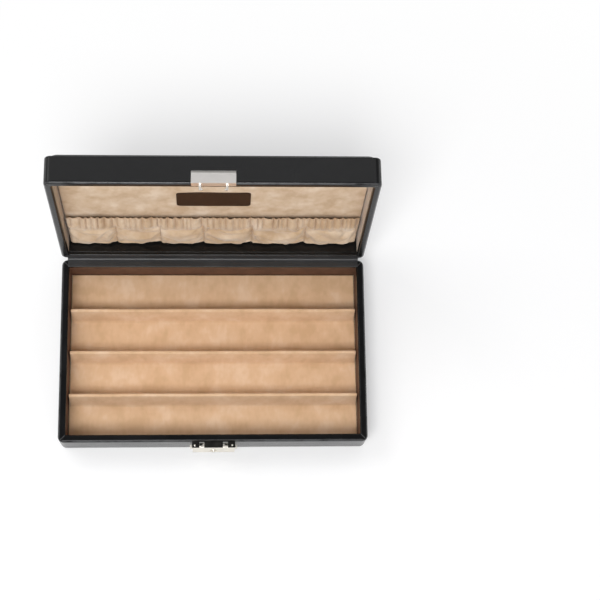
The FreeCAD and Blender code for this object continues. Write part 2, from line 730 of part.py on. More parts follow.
def base_nodes():
    """Every piece of the base, the sliders and the key barrel."""
    nodes = {}
    leather = cut_all(leather_wrap(BASE_HEIGHT), hinge_room() + lock_rivets())
    nodes["base_leather"] = leather.cut(outline(UNDERSIDE_MARGIN, (0, LEATHER)))
    nodes["underside_sheet"] = outline(UNDERSIDE_MARGIN + UNDERSIDE_GAP, (0, LEATHER))
    nodes["base_floor_board"] = outline(LEATHER, (LEATHER, LEATHER + FLOOR_BOARD))
    for name, board in wall_boards(FLOOR_BOARD, BASE_HEIGHT).items():
        nodes["base_" + name] = board
    nodes["base_rear_board"] = cut_all(nodes["base_rear_board"], hinge_screws())
    nodes["base_front_board"] = cut_all(nodes["base_front_board"], lock_rivets())
    for name, lining in wall_linings(FLOOR_BOARD, BASE_HEIGHT).items():
        nodes["base_" + name] = lining
    nodes.update(tray())
    nodes.update(dividers())
    nodes["base_hinge_strip"] = hinge_strip()
    for side, place in zip(("left", "right"), hinge_places()):
        nodes[f"base_hinge_leaf_{side}"] = hinge_leaf(place, 0)
        nodes[f"hinge_pin_{side}"] = along_hinge(PIN_RADIUS, place - HINGE_LENGTH / 2, HINGE_LENGTH)
    nodes["base_hinge_screws"] = Part.makeCompound(hinge_screws())
    nodes["lock_back_plate"] = lock_back_plate()
    nodes["lock_case"] = lock_case()
    nodes["lock_rivets"] = Part.makeCompound(lock_rivets())
    for name, piece in (("lock_spring", lock_spring()), ("slider", slider())):
        nodes[name + "_right"] = piece
        nodes[name + "_left"] = mirror_x(piece)
    nodes["key_barrel"] = key_barrel()
    nodes["key_cam"] = key_cam()
    return nodes


def lid_nodes():
    """Every piece of the lid, shut."""
    nodes = {}
    leather = cut_all(seat_in_lid(leather_wrap(LID_HEIGHT)), [flip_at_seam(room) for room in hinge_room()])
    nodes["lid_leather"] = cut_all(leather, flap_rivets() + [flap_leg()])
    nodes["lid_top_board"] = seat_in_lid(outline(LEATHER, (LEATHER, LEATHER + LID_BOARD)))
    for name, board in wall_boards(LID_BOARD, LID_HEIGHT).items():
        nodes["lid_" + name] = seat_in_lid(board)
    screws = [flip_at_seam(screw) for screw in hinge_screws()]
    nodes["lid_rear_board"] = cut_all(nodes["lid_rear_board"], screws)
    nodes["lid_front_board"] = cut_all(nodes["lid_front_board"], flap_rivets())
    for name, lining in wall_linings(LID_BOARD, LID_HEIGHT).items():
        nodes["lid_" + name] = seat_in_lid(lining)
    for name, piece in {**lid_lining(), **lid_panel(), "pocket": pocket()}.items():
        nodes[name] = seat_in_lid(piece)
    nodes["lid_hinge_strip"] = flip_at_seam(hinge_strip())
    for side, place in zip(("left", "right"), hinge_places()):
        nodes[f"lid_hinge_leaf_{side}"] = flip_at_seam(hinge_leaf(place, 1))
    nodes["lid_hinge_screws"] = Part.makeCompound(screws)
    nodes["lock_flap"] = lock_flap()
    nodes["hook_right"] = hook()
    nodes["hook_left"] = mirror_x(hook())
    nodes["flap_rivets"] = Part.makeCompound(flap_rivets())
    return nodes


def main():
    """Builds every piece, turns the lid open and writes one file for each piece."""
    os.makedirs("parts", exist_ok=True)
    nodes = base_nodes()
    for name, shape in lid_nodes().items():
        nodes[name] = open_lid(shape)
    for name, shape in nodes.items():
        sound = shape.isValid() and all(solid.Volume > 0 for solid in shape.Solids)
        print(f"{name}: {len(shape.Solids)} solid(s), {shape.Volume:.1f} mm3, sound {sound}")
        shape.exportStep(f"parts/{name}.step")


main()
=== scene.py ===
"""Looks of a leather jewellery case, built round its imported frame. All lengths are in metres."""

import json
import logging
import math
from bisect import bisect
from contextlib import contextmanager
from dataclasses import dataclass, field, replace
from enum import Enum
from typing import Callable, Iterator, Mapping, Sequence, Union

import bmesh
import bpy
from mathutils import Matrix, Vector, noise

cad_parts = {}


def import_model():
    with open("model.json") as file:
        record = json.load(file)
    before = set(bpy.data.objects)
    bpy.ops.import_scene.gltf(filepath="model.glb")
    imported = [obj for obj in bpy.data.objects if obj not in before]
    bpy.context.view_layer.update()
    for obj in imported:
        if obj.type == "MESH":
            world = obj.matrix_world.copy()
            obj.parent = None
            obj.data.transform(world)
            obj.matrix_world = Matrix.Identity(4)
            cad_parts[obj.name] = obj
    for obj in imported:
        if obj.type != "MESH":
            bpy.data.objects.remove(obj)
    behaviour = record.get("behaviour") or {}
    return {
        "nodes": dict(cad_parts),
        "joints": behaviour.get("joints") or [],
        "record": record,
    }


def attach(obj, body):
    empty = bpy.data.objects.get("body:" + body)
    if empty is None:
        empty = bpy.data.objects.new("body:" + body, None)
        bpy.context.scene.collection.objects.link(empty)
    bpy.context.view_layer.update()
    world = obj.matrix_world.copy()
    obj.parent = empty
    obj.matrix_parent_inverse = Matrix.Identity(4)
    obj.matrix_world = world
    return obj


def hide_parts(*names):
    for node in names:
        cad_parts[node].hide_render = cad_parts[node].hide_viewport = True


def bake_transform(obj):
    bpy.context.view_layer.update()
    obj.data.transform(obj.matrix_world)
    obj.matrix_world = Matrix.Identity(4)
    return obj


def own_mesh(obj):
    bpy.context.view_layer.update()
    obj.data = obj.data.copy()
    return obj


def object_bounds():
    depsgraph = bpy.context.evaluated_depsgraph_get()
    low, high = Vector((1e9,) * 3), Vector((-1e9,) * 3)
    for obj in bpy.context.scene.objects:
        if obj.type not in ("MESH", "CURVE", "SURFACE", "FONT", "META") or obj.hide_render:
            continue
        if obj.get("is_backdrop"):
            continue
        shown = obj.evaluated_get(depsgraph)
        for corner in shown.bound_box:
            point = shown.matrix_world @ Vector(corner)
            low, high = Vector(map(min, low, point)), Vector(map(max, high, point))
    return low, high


MM = 0.001
CLOSE = 0.01 * MM
ARC_STEP = math.radians(12)
LOG = logging.getLogger("jewellery_case")

Number = Union[int, float]
Colour = tuple[float, float, float]
Point2 = tuple[float, float]
Wobble = Callable[[float, Point2], Point2]


# Shader maths


class Wire:
    """An output socket that takes part in Python arithmetic and adds its own Math nodes."""

    def __init__(self, graph: "Graph", socket: bpy.types.NodeSocket) -> None:
        """Keeps the socket and the graph that it belongs to."""
        self.graph = graph
        self.socket = socket

    def _math(self, operation: str, first: "Operand", second: "Operand") -> "Wire":
        """Adds one Math node.

        Args:
            operation: The node's operation.
            first: The left-hand value.
            second: The right-hand value.

        Returns:
            The node's output.
        """
        return self.graph.node("ShaderNodeMath", {"operation": operation}, {0: first, 1: second})

    def __add__(self, other: "Operand") -> "Wire":
        """The sum."""
        return self._math("ADD", self, other)

    def __radd__(self, other: "Operand") -> "Wire":
        """The sum, with a number on the left."""
        return self._math("ADD", other, self)

    def __sub__(self, other: "Operand") -> "Wire":
        """The difference."""
        return self._math("SUBTRACT", self, other)

    def __rsub__(self, other: "Operand") -> "Wire":
        """The difference, with a number on the left."""
        return self._math("SUBTRACT", other, self)

    def __mul__(self, other: "Operand") -> "Wire":
        """The product."""
        return self._math("MULTIPLY", self, other)

    def __rmul__(self, other: "Operand") -> "Wire":
        """The product, with a number on the left."""
        return self._math("MULTIPLY", other, self)

    def __abs__(self) -> "Wire":
        """The size without its sign."""
        return self._math("ABSOLUTE", self, 0.0)

    def at_most(self, other: "Operand") -> "Wire":
        """The smaller of two values."""
        return self._math("MINIMUM", self, other)


Operand = Union[Wire, Number]


class Graph:
    """One node tree, filled node by node."""

    def __init__(self, tree: bpy.types.NodeTree) -> None:
        """Empties the tree and keeps it."""
        self.tree = tree
        tree.nodes.clear()

    def node(
        self,
        kind: str,
        settings: Mapping[str, object] | None = None,
        inputs: Mapping[str | int, object] | None = None,
        out: str | int = 0,
    ) -> Wire:
        """Adds a node of any kind.

        Args:
            kind: The node's type.
            settings: Attributes that are set first.
            inputs: Values or wires of the sockets, by name or place.
            out: The output to return.

        Returns:
            That output.
        """
        made = self.tree.nodes.new(kind)
        for name, value in (settings or {}).items():
            setattr(made, name, value)
        for name, value in (inputs or {}).items():
            if isinstance(value, Wire):
                self.tree.links.new(value.socket, made.inputs[name])
            else:
                made.inputs[name].default_value = value
        return Wire(self, made.outputs[out]) if made.outputs else Wire(self, made.inputs[0])

    def object_place(self) -> Wire:
        """The point on the piece in the case's own frame."""
        return self.node("ShaderNodeTexCoord", out="Object")

    def noise(self, place: Wire, size: float, detail: float = 2.0, roughness: float = 0.5) -> Wire:
        """Soft noise from 0 to 1.

        Args:
            place: The point to read it at.
            size: The width of its blotches.
            detail: The number of finer layers.
            roughness: The strength of the finer layers.

        Returns:
            The noise's value.
        """
        inputs = {"Vector": place, "Scale": 1 / size, "Detail": detail, "Roughness": roughness}
        return self.node("ShaderNodeTexNoise", None, inputs, "Fac")

    def stretched(self, place: Wire, scale: Sequence[float]) -> Wire:
        """A point with its axes stretched, for patterns that run one way."""
        return self.node("ShaderNodeMapping", {"vector_type": "POINT"}, {"Vector": place, "Scale": scale})

    def mixed(self, share: Operand, first: object, second: object) -> Wire:
        """Two colours mixed by a share.

        Args:
            share: 0 gives the first colour, 1 the second.
            first: A colour or a wire.
            second: A colour or a wire.

        Returns:
            The mixed colour.
        """
        ends = [value if isinstance(value, Wire) else (*value, 1.0) for value in (first, second)]
        settings = {"data_type": "RGBA", "clamp_factor": True}
        return self.node("ShaderNodeMix", settings, {0: share, 6: ends[0], 7: ends[1]}, 2)

    def ramp(self, value: Wire, low: float, high: float) -> Wire:
        """A value that climbs smoothly from 0 at low to 1 at high."""
        inputs = {"Value": value, "From Min": low, "From Max": high}
        return self.node("ShaderNodeMapRange", {"interpolation_type": "SMOOTHSTEP"}, inputs)

    def bump(self, height: Wire, depth: float, under: Wire | None = None) -> Wire:
        """A bumped normal.

        Args:
            height: The relief from 0 to 1.
            depth: Its real depth.
            under: A coarser bumped normal to start from.

        Returns:
            The normal.
        """
        inputs: dict[str | int, object] = {"Height": height, "Distance": depth, "Strength": 1.0}
        if under is not None:
            inputs["Normal"] = under
        return self.node("ShaderNodeBump", None, inputs)


class Finish:
    """A finish that becomes one material, made the first time it is asked for."""

    name: str

    def dress(self, graph: Graph) -> Mapping[str, object]:
        """The values and wires of the surface shader's sockets."""
        raise NotImplementedError

    def material(self) -> bpy.types.Material:
        """The finish as a material.

        Returns:
            The material, the same one each time.
        """
        known = bpy.data.materials.get(self.name)
        if known is not None:
            return known
        made = bpy.data.materials.new(self.name)
        made.use_nodes = True
        graph = Graph(made.node_tree)
        surface = graph.node("ShaderNodeBsdfPrincipled", None, self.dress(graph), "BSDF")
        graph.node("ShaderNodeOutputMaterial", None, {"Surface": surface})
        return made

    def onto(self, piece: bpy.types.Object) -> None:
        """Puts the finish on a piece as its only material."""
        piece.data.materials.clear()
        piece.data.materials.append(self.material())


@dataclass(frozen=True)
class Rim:
    """Where leather turns over a rim: a painted highlight along its outer edge, and mitre folds in its
    corners, bumped and painted paler as highlights.
    """

    corner: Point2
    level: float
    upward: float
    reach: float
    round: float = 2.0 * MM
    depth: float = 0.4 * MM
    width: float = 0.8 * MM
    fade: float = 1.0 * MM
    wander: float = 0.5 * MM
    wander_size: float = 4 * MM
    # Where across the rounded edge the painted highlight starts and where it is full, as shares of the round.
    highlight_band: Point2 = (0.15, 0.6)
    patch_size: float = 9 * MM
    patch_limits: Point2 = (0.2, 0.6)
    shift: Sequence[float] = (0.0, 0.0, 0.0)
    turn: float = 0.0

    def folds_and_painted_highlight(self, graph: Graph, place: Wire) -> tuple[Wire, Wire]:
        """The folds at the corners and the painted highlight on the edge.

        Args:
            graph: The graph to add nodes to.
            place: The point in the case's frame, with the lid open.

        Returns:
            Two masks, 1 on the folds and 1 on the edge's painted highlight.
        """
        turned = {"Vector": place, "Location": self.shift, "Rotation": (self.turn, 0.0, 0.0)}
        shut = graph.node("ShaderNodeMapping", {"vector_type": "POINT"}, turned)
        across, along, height = (graph.node("ShaderNodeSeparateXYZ", None, {0: shut}, axis) for axis in "XYZ")
        inward, back = self.corner[0] - abs(across), self.corner[1] - abs(along)
        wander = (graph.noise(place, self.wander_size) - 0.5) * self.wander
        near = graph.ramp(inward, self.reach, self.reach - self.fade)
        fold = graph.ramp(abs(inward - back + wander), self.width, 0.0) * near
        out = self.round - inward.at_most(back)
        over = (height - self.level) * self.upward + self.round
        # Painted highlight along the rounded outer edge, broken into patches; the fold mask also marks where
        # the mitre folds are painted paler.
        patchy = graph.ramp(graph.noise(place, self.patch_size, 3.0), *self.patch_limits)
        faint, full = (share * self.round for share in self.highlight_band)
        return fold, graph.ramp(out.at_most(over), faint, full) * patchy


@dataclass(frozen=True)
class Leather(Finish):
    """Smooth calf leather with a fine pebble and a soft shine."""

    name: str
    dark: Colour
    light: Colour
    pebble: float = 0.9 * MM
    pebble_depth: float = 0.016 * MM
    shine: float = 0.22
    shine_spread: float = 0.12
    creases: float = 0.25
    # A paler grey, painted on the rim's mitre folds and outer edge as a highlight, and how much of it.
    painted_highlight: Colour = (0.105, 0.107, 0.11)
    painted_highlight_share: float = 0.6
    gloss: float = 0.33
    slack: float = 0.22 * MM
    slack_size: float = 28 * MM
    cloud: float = 22 * MM
    cloud_share: float = 0.6
    handled: float = 6 * MM
    tone: Point2 = (0.35, 0.7)
    rim: Rim | None = None

    def dress(self, graph: Graph) -> Mapping[str, object]:
        """Grain cells between fine creases, with a cloudy shine and, on a rim, painted highlights on its
        folds and edge.

        Args:
            graph: The graph to add nodes to.

        Returns:
            The values and wires of the surface shader's sockets.
        """
        place = graph.object_place()
        spot = {"Vector": place, "Scale": 1 / self.pebble}
        cells = graph.node("ShaderNodeTexVoronoi", {"feature": "SMOOTH_F1"}, spot, "Distance")
        pores = graph.noise(place, self.pebble / 3, 3.0, 0.6)
        clouds = graph.noise(place, self.cloud, 3.0)
        handling = graph.noise(place, self.handled)
        swell = graph.noise(place, self.slack_size, 1.0)
        relief = cells * (1 - self.creases) + pores * self.creases
        tone = graph.ramp(clouds * self.cloud_share + pores * (1 - self.cloud_share), *self.tone)
        hide = graph.mixed(tone, self.dark, self.light)
        shine = self.shine + (clouds - 0.5) * self.shine_spread + (handling - 0.5) * (self.shine_spread / 2)
        under = None
        if self.rim is not None:
            fold, edge = self.rim.folds_and_painted_highlight(graph, place)
            under = graph.bump(1 - fold, self.rim.depth)
            # Painted highlight: the mitre folds and the outer edge of the rim are mixed towards the paler
            # grey.
            hide = graph.mixed((fold + edge) * self.painted_highlight_share, hide, self.painted_highlight)
        return {
            "Base Color": hide,
            "Roughness": shine,
            "Normal": graph.bump(relief, self.pebble_depth, graph.bump(swell, self.slack, under)),
            "Specular IOR Level": self.gloss,
        }


@dataclass(frozen=True)
class Velour(Finish):
    """Short brushed pile, with cloudy patches where the nap lies another way."""

    name: str
    shade: Colour
    middle: Colour
    bright: Colour
    cloud: float = 17 * MM
    cloud_share: float = 0.72
    stroke: Sequence[float] = (1.3, 0.7, 1.0)
    settled: Point2 = (0.34, 0.52)
    brushed: Point2 = (0.48, 0.72)
    pile: float = 0.35 * MM
    pile_depth: float = 0.10 * MM
    flecks: Point2 = (0.3, 0.75)
    fleck_share: float = 0.14
    shine: float = 0.86
    shine_spread: float = 0.2
    sheen: float = 0.28
    sheen_spread: float = 0.45
    gloss: float = 0.2
    # The attribute that marks creases and seams for painted shade, the dark brown painted there, and its
    # strength.
    folds: str = ""
    painted_crease_shade: Colour = (0.30, 0.18, 0.10)
    painted_crease_share: float = 0.75

    def dress(self, graph: Graph) -> Mapping[str, object]:
        """Brushed clouds over a fine speckled pile, with painted shade in the folds that an attribute marks.

        Args:
            graph: The graph to add nodes to.

        Returns:
            The values and wires of the surface shader's sockets.
        """
        place = graph.object_place()
        clouds = graph.noise(place, self.cloud, 2.5, 0.45)
        strokes = graph.noise(graph.stretched(place, self.stroke), self.cloud / 3)
        speckle = graph.noise(place, self.pile, 2.0, 0.6)
        nap = clouds * self.cloud_share + strokes * (1 - self.cloud_share)
        colour = graph.mixed(graph.ramp(nap, *self.settled), self.shade, self.middle)
        colour = graph.mixed(graph.ramp(nap, *self.brushed), colour, self.bright)
        colour = graph.mixed(graph.ramp(speckle, *self.flecks) * self.fleck_share, colour, self.shade)
        if self.folds:
            # Painted shade: the creases and seams that the attribute marks are mixed towards a dark brown.
            painted_shade_mask = graph.node("ShaderNodeAttribute", {"attribute_name": self.folds}, None, "Fac")
            colour = graph.mixed(painted_shade_mask * self.painted_crease_share, colour, self.painted_crease_shade)
        return {
            "Base Color": colour,
            "Roughness": self.shine + (speckle - 0.5) * self.shine_spread,
            "Normal": graph.bump(speckle, self.pile_depth),
            "Sheen Weight": self.sheen,
            "Sheen Roughness": self.sheen_spread,
            "Specular IOR Level": self.gloss,
        }


@dataclass(frozen=True)
class LiningCloth(Finish):
    """Matt woven lining cloth."""

    name: str
    dark: Colour
    light: Colour
    thread: float = 0.45 * MM
    relief: float = 0.08 * MM
    cloud: float = 14 * MM
    cloud_share: float = 0.6
    tone: Point2 = (0.35, 0.65)
    shine: float = 0.75
    shine_spread: float = 0.3

    def dress(self, graph: Graph) -> Mapping[str, object]:
        """A fine weave with worn, cloudy colour.

        Args:
            graph: The graph to add nodes to.

        Returns:
            The values and wires of the surface shader's sockets.
        """
        place = graph.object_place()
        weave = graph.noise(graph.stretched(place, (0.4, 1.0, 1.0)), self.thread)
        cross = graph.noise(graph.stretched(place, (1.0, 0.4, 0.4)), self.thread)
        clouds = graph.noise(place, self.cloud, 3.0)
        threads = (weave + cross) * 0.5
        tone = graph.ramp(clouds * self.cloud_share + threads * (1 - self.cloud_share), *self.tone)
        return {
            "Base Color": graph.mixed(tone, self.dark, self.light),
            "Roughness": self.shine + (threads - 0.5) * self.shine_spread,
            "Normal": graph.bump(threads, self.relief),
        }


@dataclass(frozen=True)
class Metal(Finish):
    """Plated or plain metal with fine rubbing marks."""

    name: str
    bright: Colour
    dull: Colour
    shine: float
    marks: float = 0.06
    grain: Sequence[float] = (1.0, 1.0, 1.0)
    mark_size: float = 0.5 * MM
    mark_depth: float = 0.004 * MM
    cloud: float = 5 * MM
    tone: Point2 = (0.3, 0.7)

    def dress(self, graph: Graph) -> Mapping[str, object]:
        """Rubbing marks in the shine, and a faint cloud in the colour.

        Args:
            graph: The graph to add nodes to.

        Returns:
            The values and wires of the surface shader's sockets.
        """
        place = graph.object_place()
        rubbed = graph.noise(graph.stretched(place, self.grain), self.mark_size, 3.0, 0.6)
        clouds = graph.noise(place, self.cloud)
        return {
            "Base Color": graph.mixed(graph.ramp(clouds, *self.tone), self.bright, self.dull),
            "Roughness": self.shine + (rubbed - 0.5) * self.marks,
            "Normal": graph.bump(rubbed, self.mark_depth),
            "Metallic": 1.0,
        }


@dataclass(frozen=True)
class FibreBoard(Finish):
    """Pressed fibre board or card."""

    name: str
    dark: Colour
    light: Colour
    fibre: float = 0.9 * MM
    relief: float = 0.06 * MM
    tone: Point2 = (0.3, 0.7)
    shine: float = 0.8
    shine_spread: float = 0.2

    def dress(self, graph: Graph) -> Mapping[str, object]:
        """Short fibres pressed flat.

        Args:
            graph: The graph to add nodes to.

        Returns:
            The values and wires of the surface shader's sockets.
        """
        place = graph.object_place()
        fibres = graph.noise(graph.stretched(place, (0.3, 1.0, 1.0)), self.fibre, 4.0, 0.65)
        return {
            "Base Color": graph.mixed(graph.ramp(fibres, *self.tone), self.dark, self.light),
            "Roughness": self.shine + (fibres - 0.5) * self.shine_spread,
            "Normal": graph.bump(fibres, self.relief),
        }


class Finishes(Enum):
    """Every finish on the case."""

    BLACK_LEATHER = Leather("satin_calf_leather", (0.004, 0.0041, 0.0044), (0.008, 0.0081, 0.0085))
    PANEL_LEATHER = replace(BLACK_LEATHER, name="panel_leather", gloss=0.55, shine=0.26)
    # The hinge strip's leather is paler than the black leather: painted sheen for the light that the curved
    # strip reflects.
    HINGE_LEATHER = Leather(
        "hinge_strip_leather_painted_sheen", (0.019, 0.0195, 0.0205), (0.031, 0.0315, 0.033), shine=0.36, gloss=0.5
    )
    UNDERSIDE = Leather(
        "underside_leather_cloth",
        (0.010, 0.010, 0.011),
        (0.018, 0.018, 0.019),
        pebble=1.4 * MM,
        pebble_depth=0.09 * MM,
        shine=0.6,
    )
    BROWN_LEATHER = Leather(
        "patch_leather",
        (0.024, 0.0088, 0.0034),
        (0.036, 0.0138, 0.0055),
        pebble=0.7 * MM,
        pebble_depth=0.03 * MM,
        shine=0.42,
        gloss=0.25,
    )
    TRAY_VELOUR = Velour("tray_velour_pile", (0.645, 0.42, 0.245), (0.72, 0.482, 0.295), (0.80, 0.58, 0.40))
    LID_VELOUR = Velour("lid_velour", (0.50, 0.345, 0.21), (0.595, 0.44, 0.295), (0.71, 0.575, 0.44))
    # The pocket's velour darkens the creases that its fold attribute marks: painted shade.
    POCKET_VELOUR = replace(LID_VELOUR, name="pocket_velour", folds="fold")
    # The lid's wall linings use the lid velour made darker: painted shade for walls that face away from the
    # light.
    LID_WALL_VELOUR = Velour(
        "lid_wall_velour_painted_shade", (0.36, 0.245, 0.145), (0.42, 0.295, 0.185), (0.50, 0.37, 0.25)
    )
    BROWN_LINING = LiningCloth("wall_lining_cloth", (0.085, 0.034, 0.016), (0.135, 0.06, 0.031))
    NICKEL = Metal("nickel_plate", (0.84, 0.80, 0.72), (0.79, 0.75, 0.675), 0.36)
    # The flap's nickel is brighter than the other plating: a painted reflection for the light that the flap
    # catches.
    FLAP_NICKEL = Metal("flap_nickel_painted_reflection", (0.98, 0.945, 0.90), (0.95, 0.915, 0.87), 0.36)
    SATIN_NICKEL = Metal("satin_nickel", (0.88, 0.85, 0.80), (0.82, 0.78, 0.72), 0.42, 0.1)
    STEEL = Metal("plain_steel", (0.58, 0.57, 0.55), (0.48, 0.47, 0.45), 0.32, 0.2, (0.1, 1.0, 1.0))
    BLACKENED_STEEL = Metal("blackened_steel", (0.035, 0.033, 0.03), (0.02, 0.019, 0.018), 0.4, 0.2)
    BOARD = FibreBoard("fibre_board", (0.36, 0.27, 0.17), (0.52, 0.42, 0.29))
    CARD = FibreBoard("grey_card", (0.36, 0.31, 0.24), (0.48, 0.42, 0.33))
    FOAM = FibreBoard("upholstery_foam", (0.70, 0.67, 0.58), (0.82, 0.80, 0.72))

    def onto(self, piece: bpy.types.Object) -> None:
        """Puts this finish on a piece."""
        self.value.onto(piece)


# Modelling by hand


def path_length(path: Sequence[Point2]) -> float:
    """The length of a path through points."""
    return sum(math.dist(first, second) for first, second in zip(path, path[1:]))


def deselect_all() -> None:
    """Clears the selection, so that an operator acts on one piece alone."""
    bpy.ops.object.select_all(action="DESELECT")


def pick(piece: bpy.types.Object) -> None:
    """Selects one piece alone and makes it the active one.

    Args:
        piece: The piece.
    """
    deselect_all()
    piece.select_set(True)
    bpy.context.view_layer.objects.active = piece


@contextmanager
def editing(piece: bpy.types.Object) -> Iterator[bmesh.types.BMesh]:
    """Opens a piece in edit mode with nothing selected.

    Args:
        piece: The piece to edit.

    Yields:
        Its edit mesh, for selecting by place.
    """
    pick(piece)
    bpy.ops.object.mode_set(mode="EDIT")
    bpy.ops.mesh.select_mode(type="EDGE")
    bpy.ops.mesh.select_all(action="DESELECT")
    yield bmesh.from_edit_mesh(piece.data)
    bpy.ops.object.mode_set(mode="OBJECT")


def modified(piece: bpy.types.Object, kind: str, **settings: object) -> None:
    """Adds a modifier and applies it.

    Args:
        piece: The piece that gets it.
        kind: The modifier's type.
        settings: Its attributes.
    """
    pick(piece)
    modifier = piece.modifiers.new(kind.title(), kind)
    for name, value in settings.items():
        setattr(modifier, name, value)
    bpy.ops.object.modifier_apply(modifier=modifier.name)


def smoothed(piece: bpy.types.Object, degrees: float = 50.0) -> None:
    """Shades a piece smooth, with edges sharper than an angle left crisp."""
    pick(piece)
    bpy.ops.object.shade_smooth_by_angle(angle=math.radians(degrees))


def new_grid(name: str, columns: int, rows: int) -> bpy.types.Object:
    """Adds a flat grid from -1 to 1 on X and Y.

    Args:
        name: The piece's name.
        columns: Cells along X.
        rows: Cells along Y.

    Returns:
        The new piece.
    """
    deselect_all()
    bpy.ops.mesh.primitive_grid_add(x_subdivisions=columns, y_subdivisions=rows, size=2.0)
    piece = bpy.context.active_object
    piece.name = piece.data.name = name
    return piece


def grid_cell(vertex: bpy.types.MeshVertex, columns: int, rows: int) -> tuple[int, int]:
    """The column and row of a new grid's vertex."""
    return round((vertex.co.x + 1) / 2 * columns), round((vertex.co.y + 1) / 2 * rows)


def shaped(name: str, columns: int, rows: int, rule: Callable[[int, int], Vector]) -> bpy.types.Object:
    """A grid with each vertex moved to where a rule puts it.

    Args:
        name: The piece's name.
        columns: Cells along the first way.
        rows: Cells along the second way.
        rule: Gives the place of a column and row.

    Returns:
        The shaped sheet.
    """
    piece = new_grid(name, columns, rows)
    for vertex in piece.data.vertices:
        vertex.co = rule(*grid_cell(vertex, columns, rows))
    piece.data.update()
    return piece


def outward(piece: bpy.types.Object) -> None:
    """Turns a closed piece's faces outwards.

    Args:
        piece: The piece.
    """
    with editing(piece):
        bpy.ops.mesh.select_all(action="SELECT")
        bpy.ops.mesh.normals_make_consistent(inside=False)


def even_steps(start: float, end: float, step: float) -> list[float]:
    """Evenly spaced places from start to end, about one step apart."""
    count = max(1, round(abs(end - start) / step))
    return [start + (end - start) * number / count for number in range(count + 1)]


def rounded_path(corners: Sequence[Point2], radii: Sequence[float], step: float) -> list[Point2]:
    """A path through corners, with the inner ones rounded by arcs.

    Args:
        corners: The corner points.
        radii: A radius for each inner corner.
        step: The spacing of the points on straight runs.

    Returns:
        The points of the path.
    """
    path: list[Vector] = [Vector(corners[0])]
    for before, corner, after, radius in zip(corners, corners[1:], corners[2:], radii):
        middle = Vector(corner)
        back, ahead = (Vector(before) - middle).normalized(), (Vector(after) - middle).normalized()
        turn = math.pi - back.angle(ahead)
        reach = radius * math.tan(turn / 2)
        centre = middle + (back + ahead).normalized() * (radius / math.cos(turn / 2))
        start, end = (middle + back * reach - centre) / radius, (middle + ahead * reach - centre) / radius
        count = max(2, math.ceil(turn / ARC_STEP))
        path += [centre + radius * start.slerp(end, number / count) for number in range(count + 1)]
    path.append(Vector(corners[-1]))
    points: list[Point2] = [tuple(path[0])]
    for first, second in zip(path, path[1:]):
        count = max(1, round((second - first).length / step))
        points += [tuple(first.lerp(second, number / count)) for number in range(1, count + 1)]
    return points


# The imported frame


@dataclass(frozen=True)
class Box:
    """A box between two corners."""

    low: Vector
    high: Vector

    @property
    def size(self) -> Vector:
        """The box's three sides."""
        return self.high - self.low

    @property
    def middle(self) -> Vector:
        """The box's centre."""
        return (self.low + self.high) / 2


class Facing(Enum):
    """Which way a panel's finished face looks: two axes along the face, and the way out of it."""

    UP = ((1, 0, 0), (0, 1, 0), (0, 0, 1))
    DOWN = ((-1, 0, 0), (0, 1, 0), (0, 0, -1))
    FRONT = ((1, 0, 0), (0, 0, 1), (0, -1, 0))
    REAR = ((-1, 0, 0), (0, 0, 1), (0, 1, 0))
    LEFT = ((0, -1, 0), (0, 0, 1), (-1, 0, 0))
    RIGHT = ((0, 1, 0), (0, 0, 1), (1, 0, 0))

    @property
    def axes(self) -> tuple[Vector, Vector, Vector]:
        """The two axes along the face and the way out of it."""
        return tuple(Vector(axis) for axis in self.value)

    def spans(self, box: Box) -> tuple[float, float, float]:
        """The box's width, height and depth as seen from this side."""
        return tuple(abs(axis.dot(box.size)) for axis in self.axes)

    def seat(self, box: Box) -> Matrix:
        """Takes a panel drawn flat, with its face at zero, to this side of a box.

        Args:
            box: The box.

        Returns:
            The move and turn.
        """
        across, upward, out = self.axes
        turn = Matrix((across, upward, out)).transposed().to_4x4()
        return Matrix.Translation(box.middle + out * (abs(out.dot(box.size)) / 2)) @ turn


class CaseFrame:
    """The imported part: its nodes, its hinge and where its pieces lie."""

    LID = "lid"

    def __init__(self) -> None:
        """Loads the frame and reads the lid's hinge."""
        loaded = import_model()
        self.nodes = loaded["nodes"]
        self.record = loaded["record"]
        bodies = self.record["behaviour"]["bodies"]
        self.body_of = {node: body for body, nodes in bodies.items() for node in nodes}
        hinge = next(joint for joint in loaded["joints"] if joint["child"] == self.LID)
        self.hinge = Vector(hinge["pos_m"])
        self.open_angle = math.radians(max(hinge["range_deg"]))
        turn = Matrix.Rotation(-self.open_angle, 4, "X")
        self.opened = Matrix.Translation(self.hinge) @ turn @ Matrix.Translation(-self.hinge)
        self.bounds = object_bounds()

    def box(self, node: str) -> Box:
        """A node's box, with the lid's nodes as they lie when it is shut.

        Args:
            node: The node's name.

        Returns:
            The box.
        """
        back = self.opened.inverted() if self.body_of[node] == self.LID else Matrix.Identity(4)
        points = [back @ vertex.co for vertex in self.nodes[node].data.vertices]
        low = Vector(min(point[axis] for point in points) for axis in range(3))
        high = Vector(max(point[axis] for point in points) for axis in range(3))
        return Box(low, high)

    def settle(self, piece: bpy.types.Object, finish: Finishes, slot: str, *nodes: str) -> bpy.types.Object:
        """Seats a finished piece on the body of the nodes that it stands for, and dresses it.

        Args:
            piece: The piece, drawn with the lid shut.
            finish: Its finish.
            slot: The record's material slot; not used.
            nodes: The nodes that it stands for, all on one body.

        Returns:
            The piece.
        """
        body = self.body_of[nodes[0]]
        if body == self.LID:
            piece.data.transform(self.opened)
        finish.onto(piece)
        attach(piece, body)
        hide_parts(*nodes)
        LOG.info("%s rides on %s and stands for %s", piece.name, body, ", ".join(nodes))
        return piece


# Soft panels


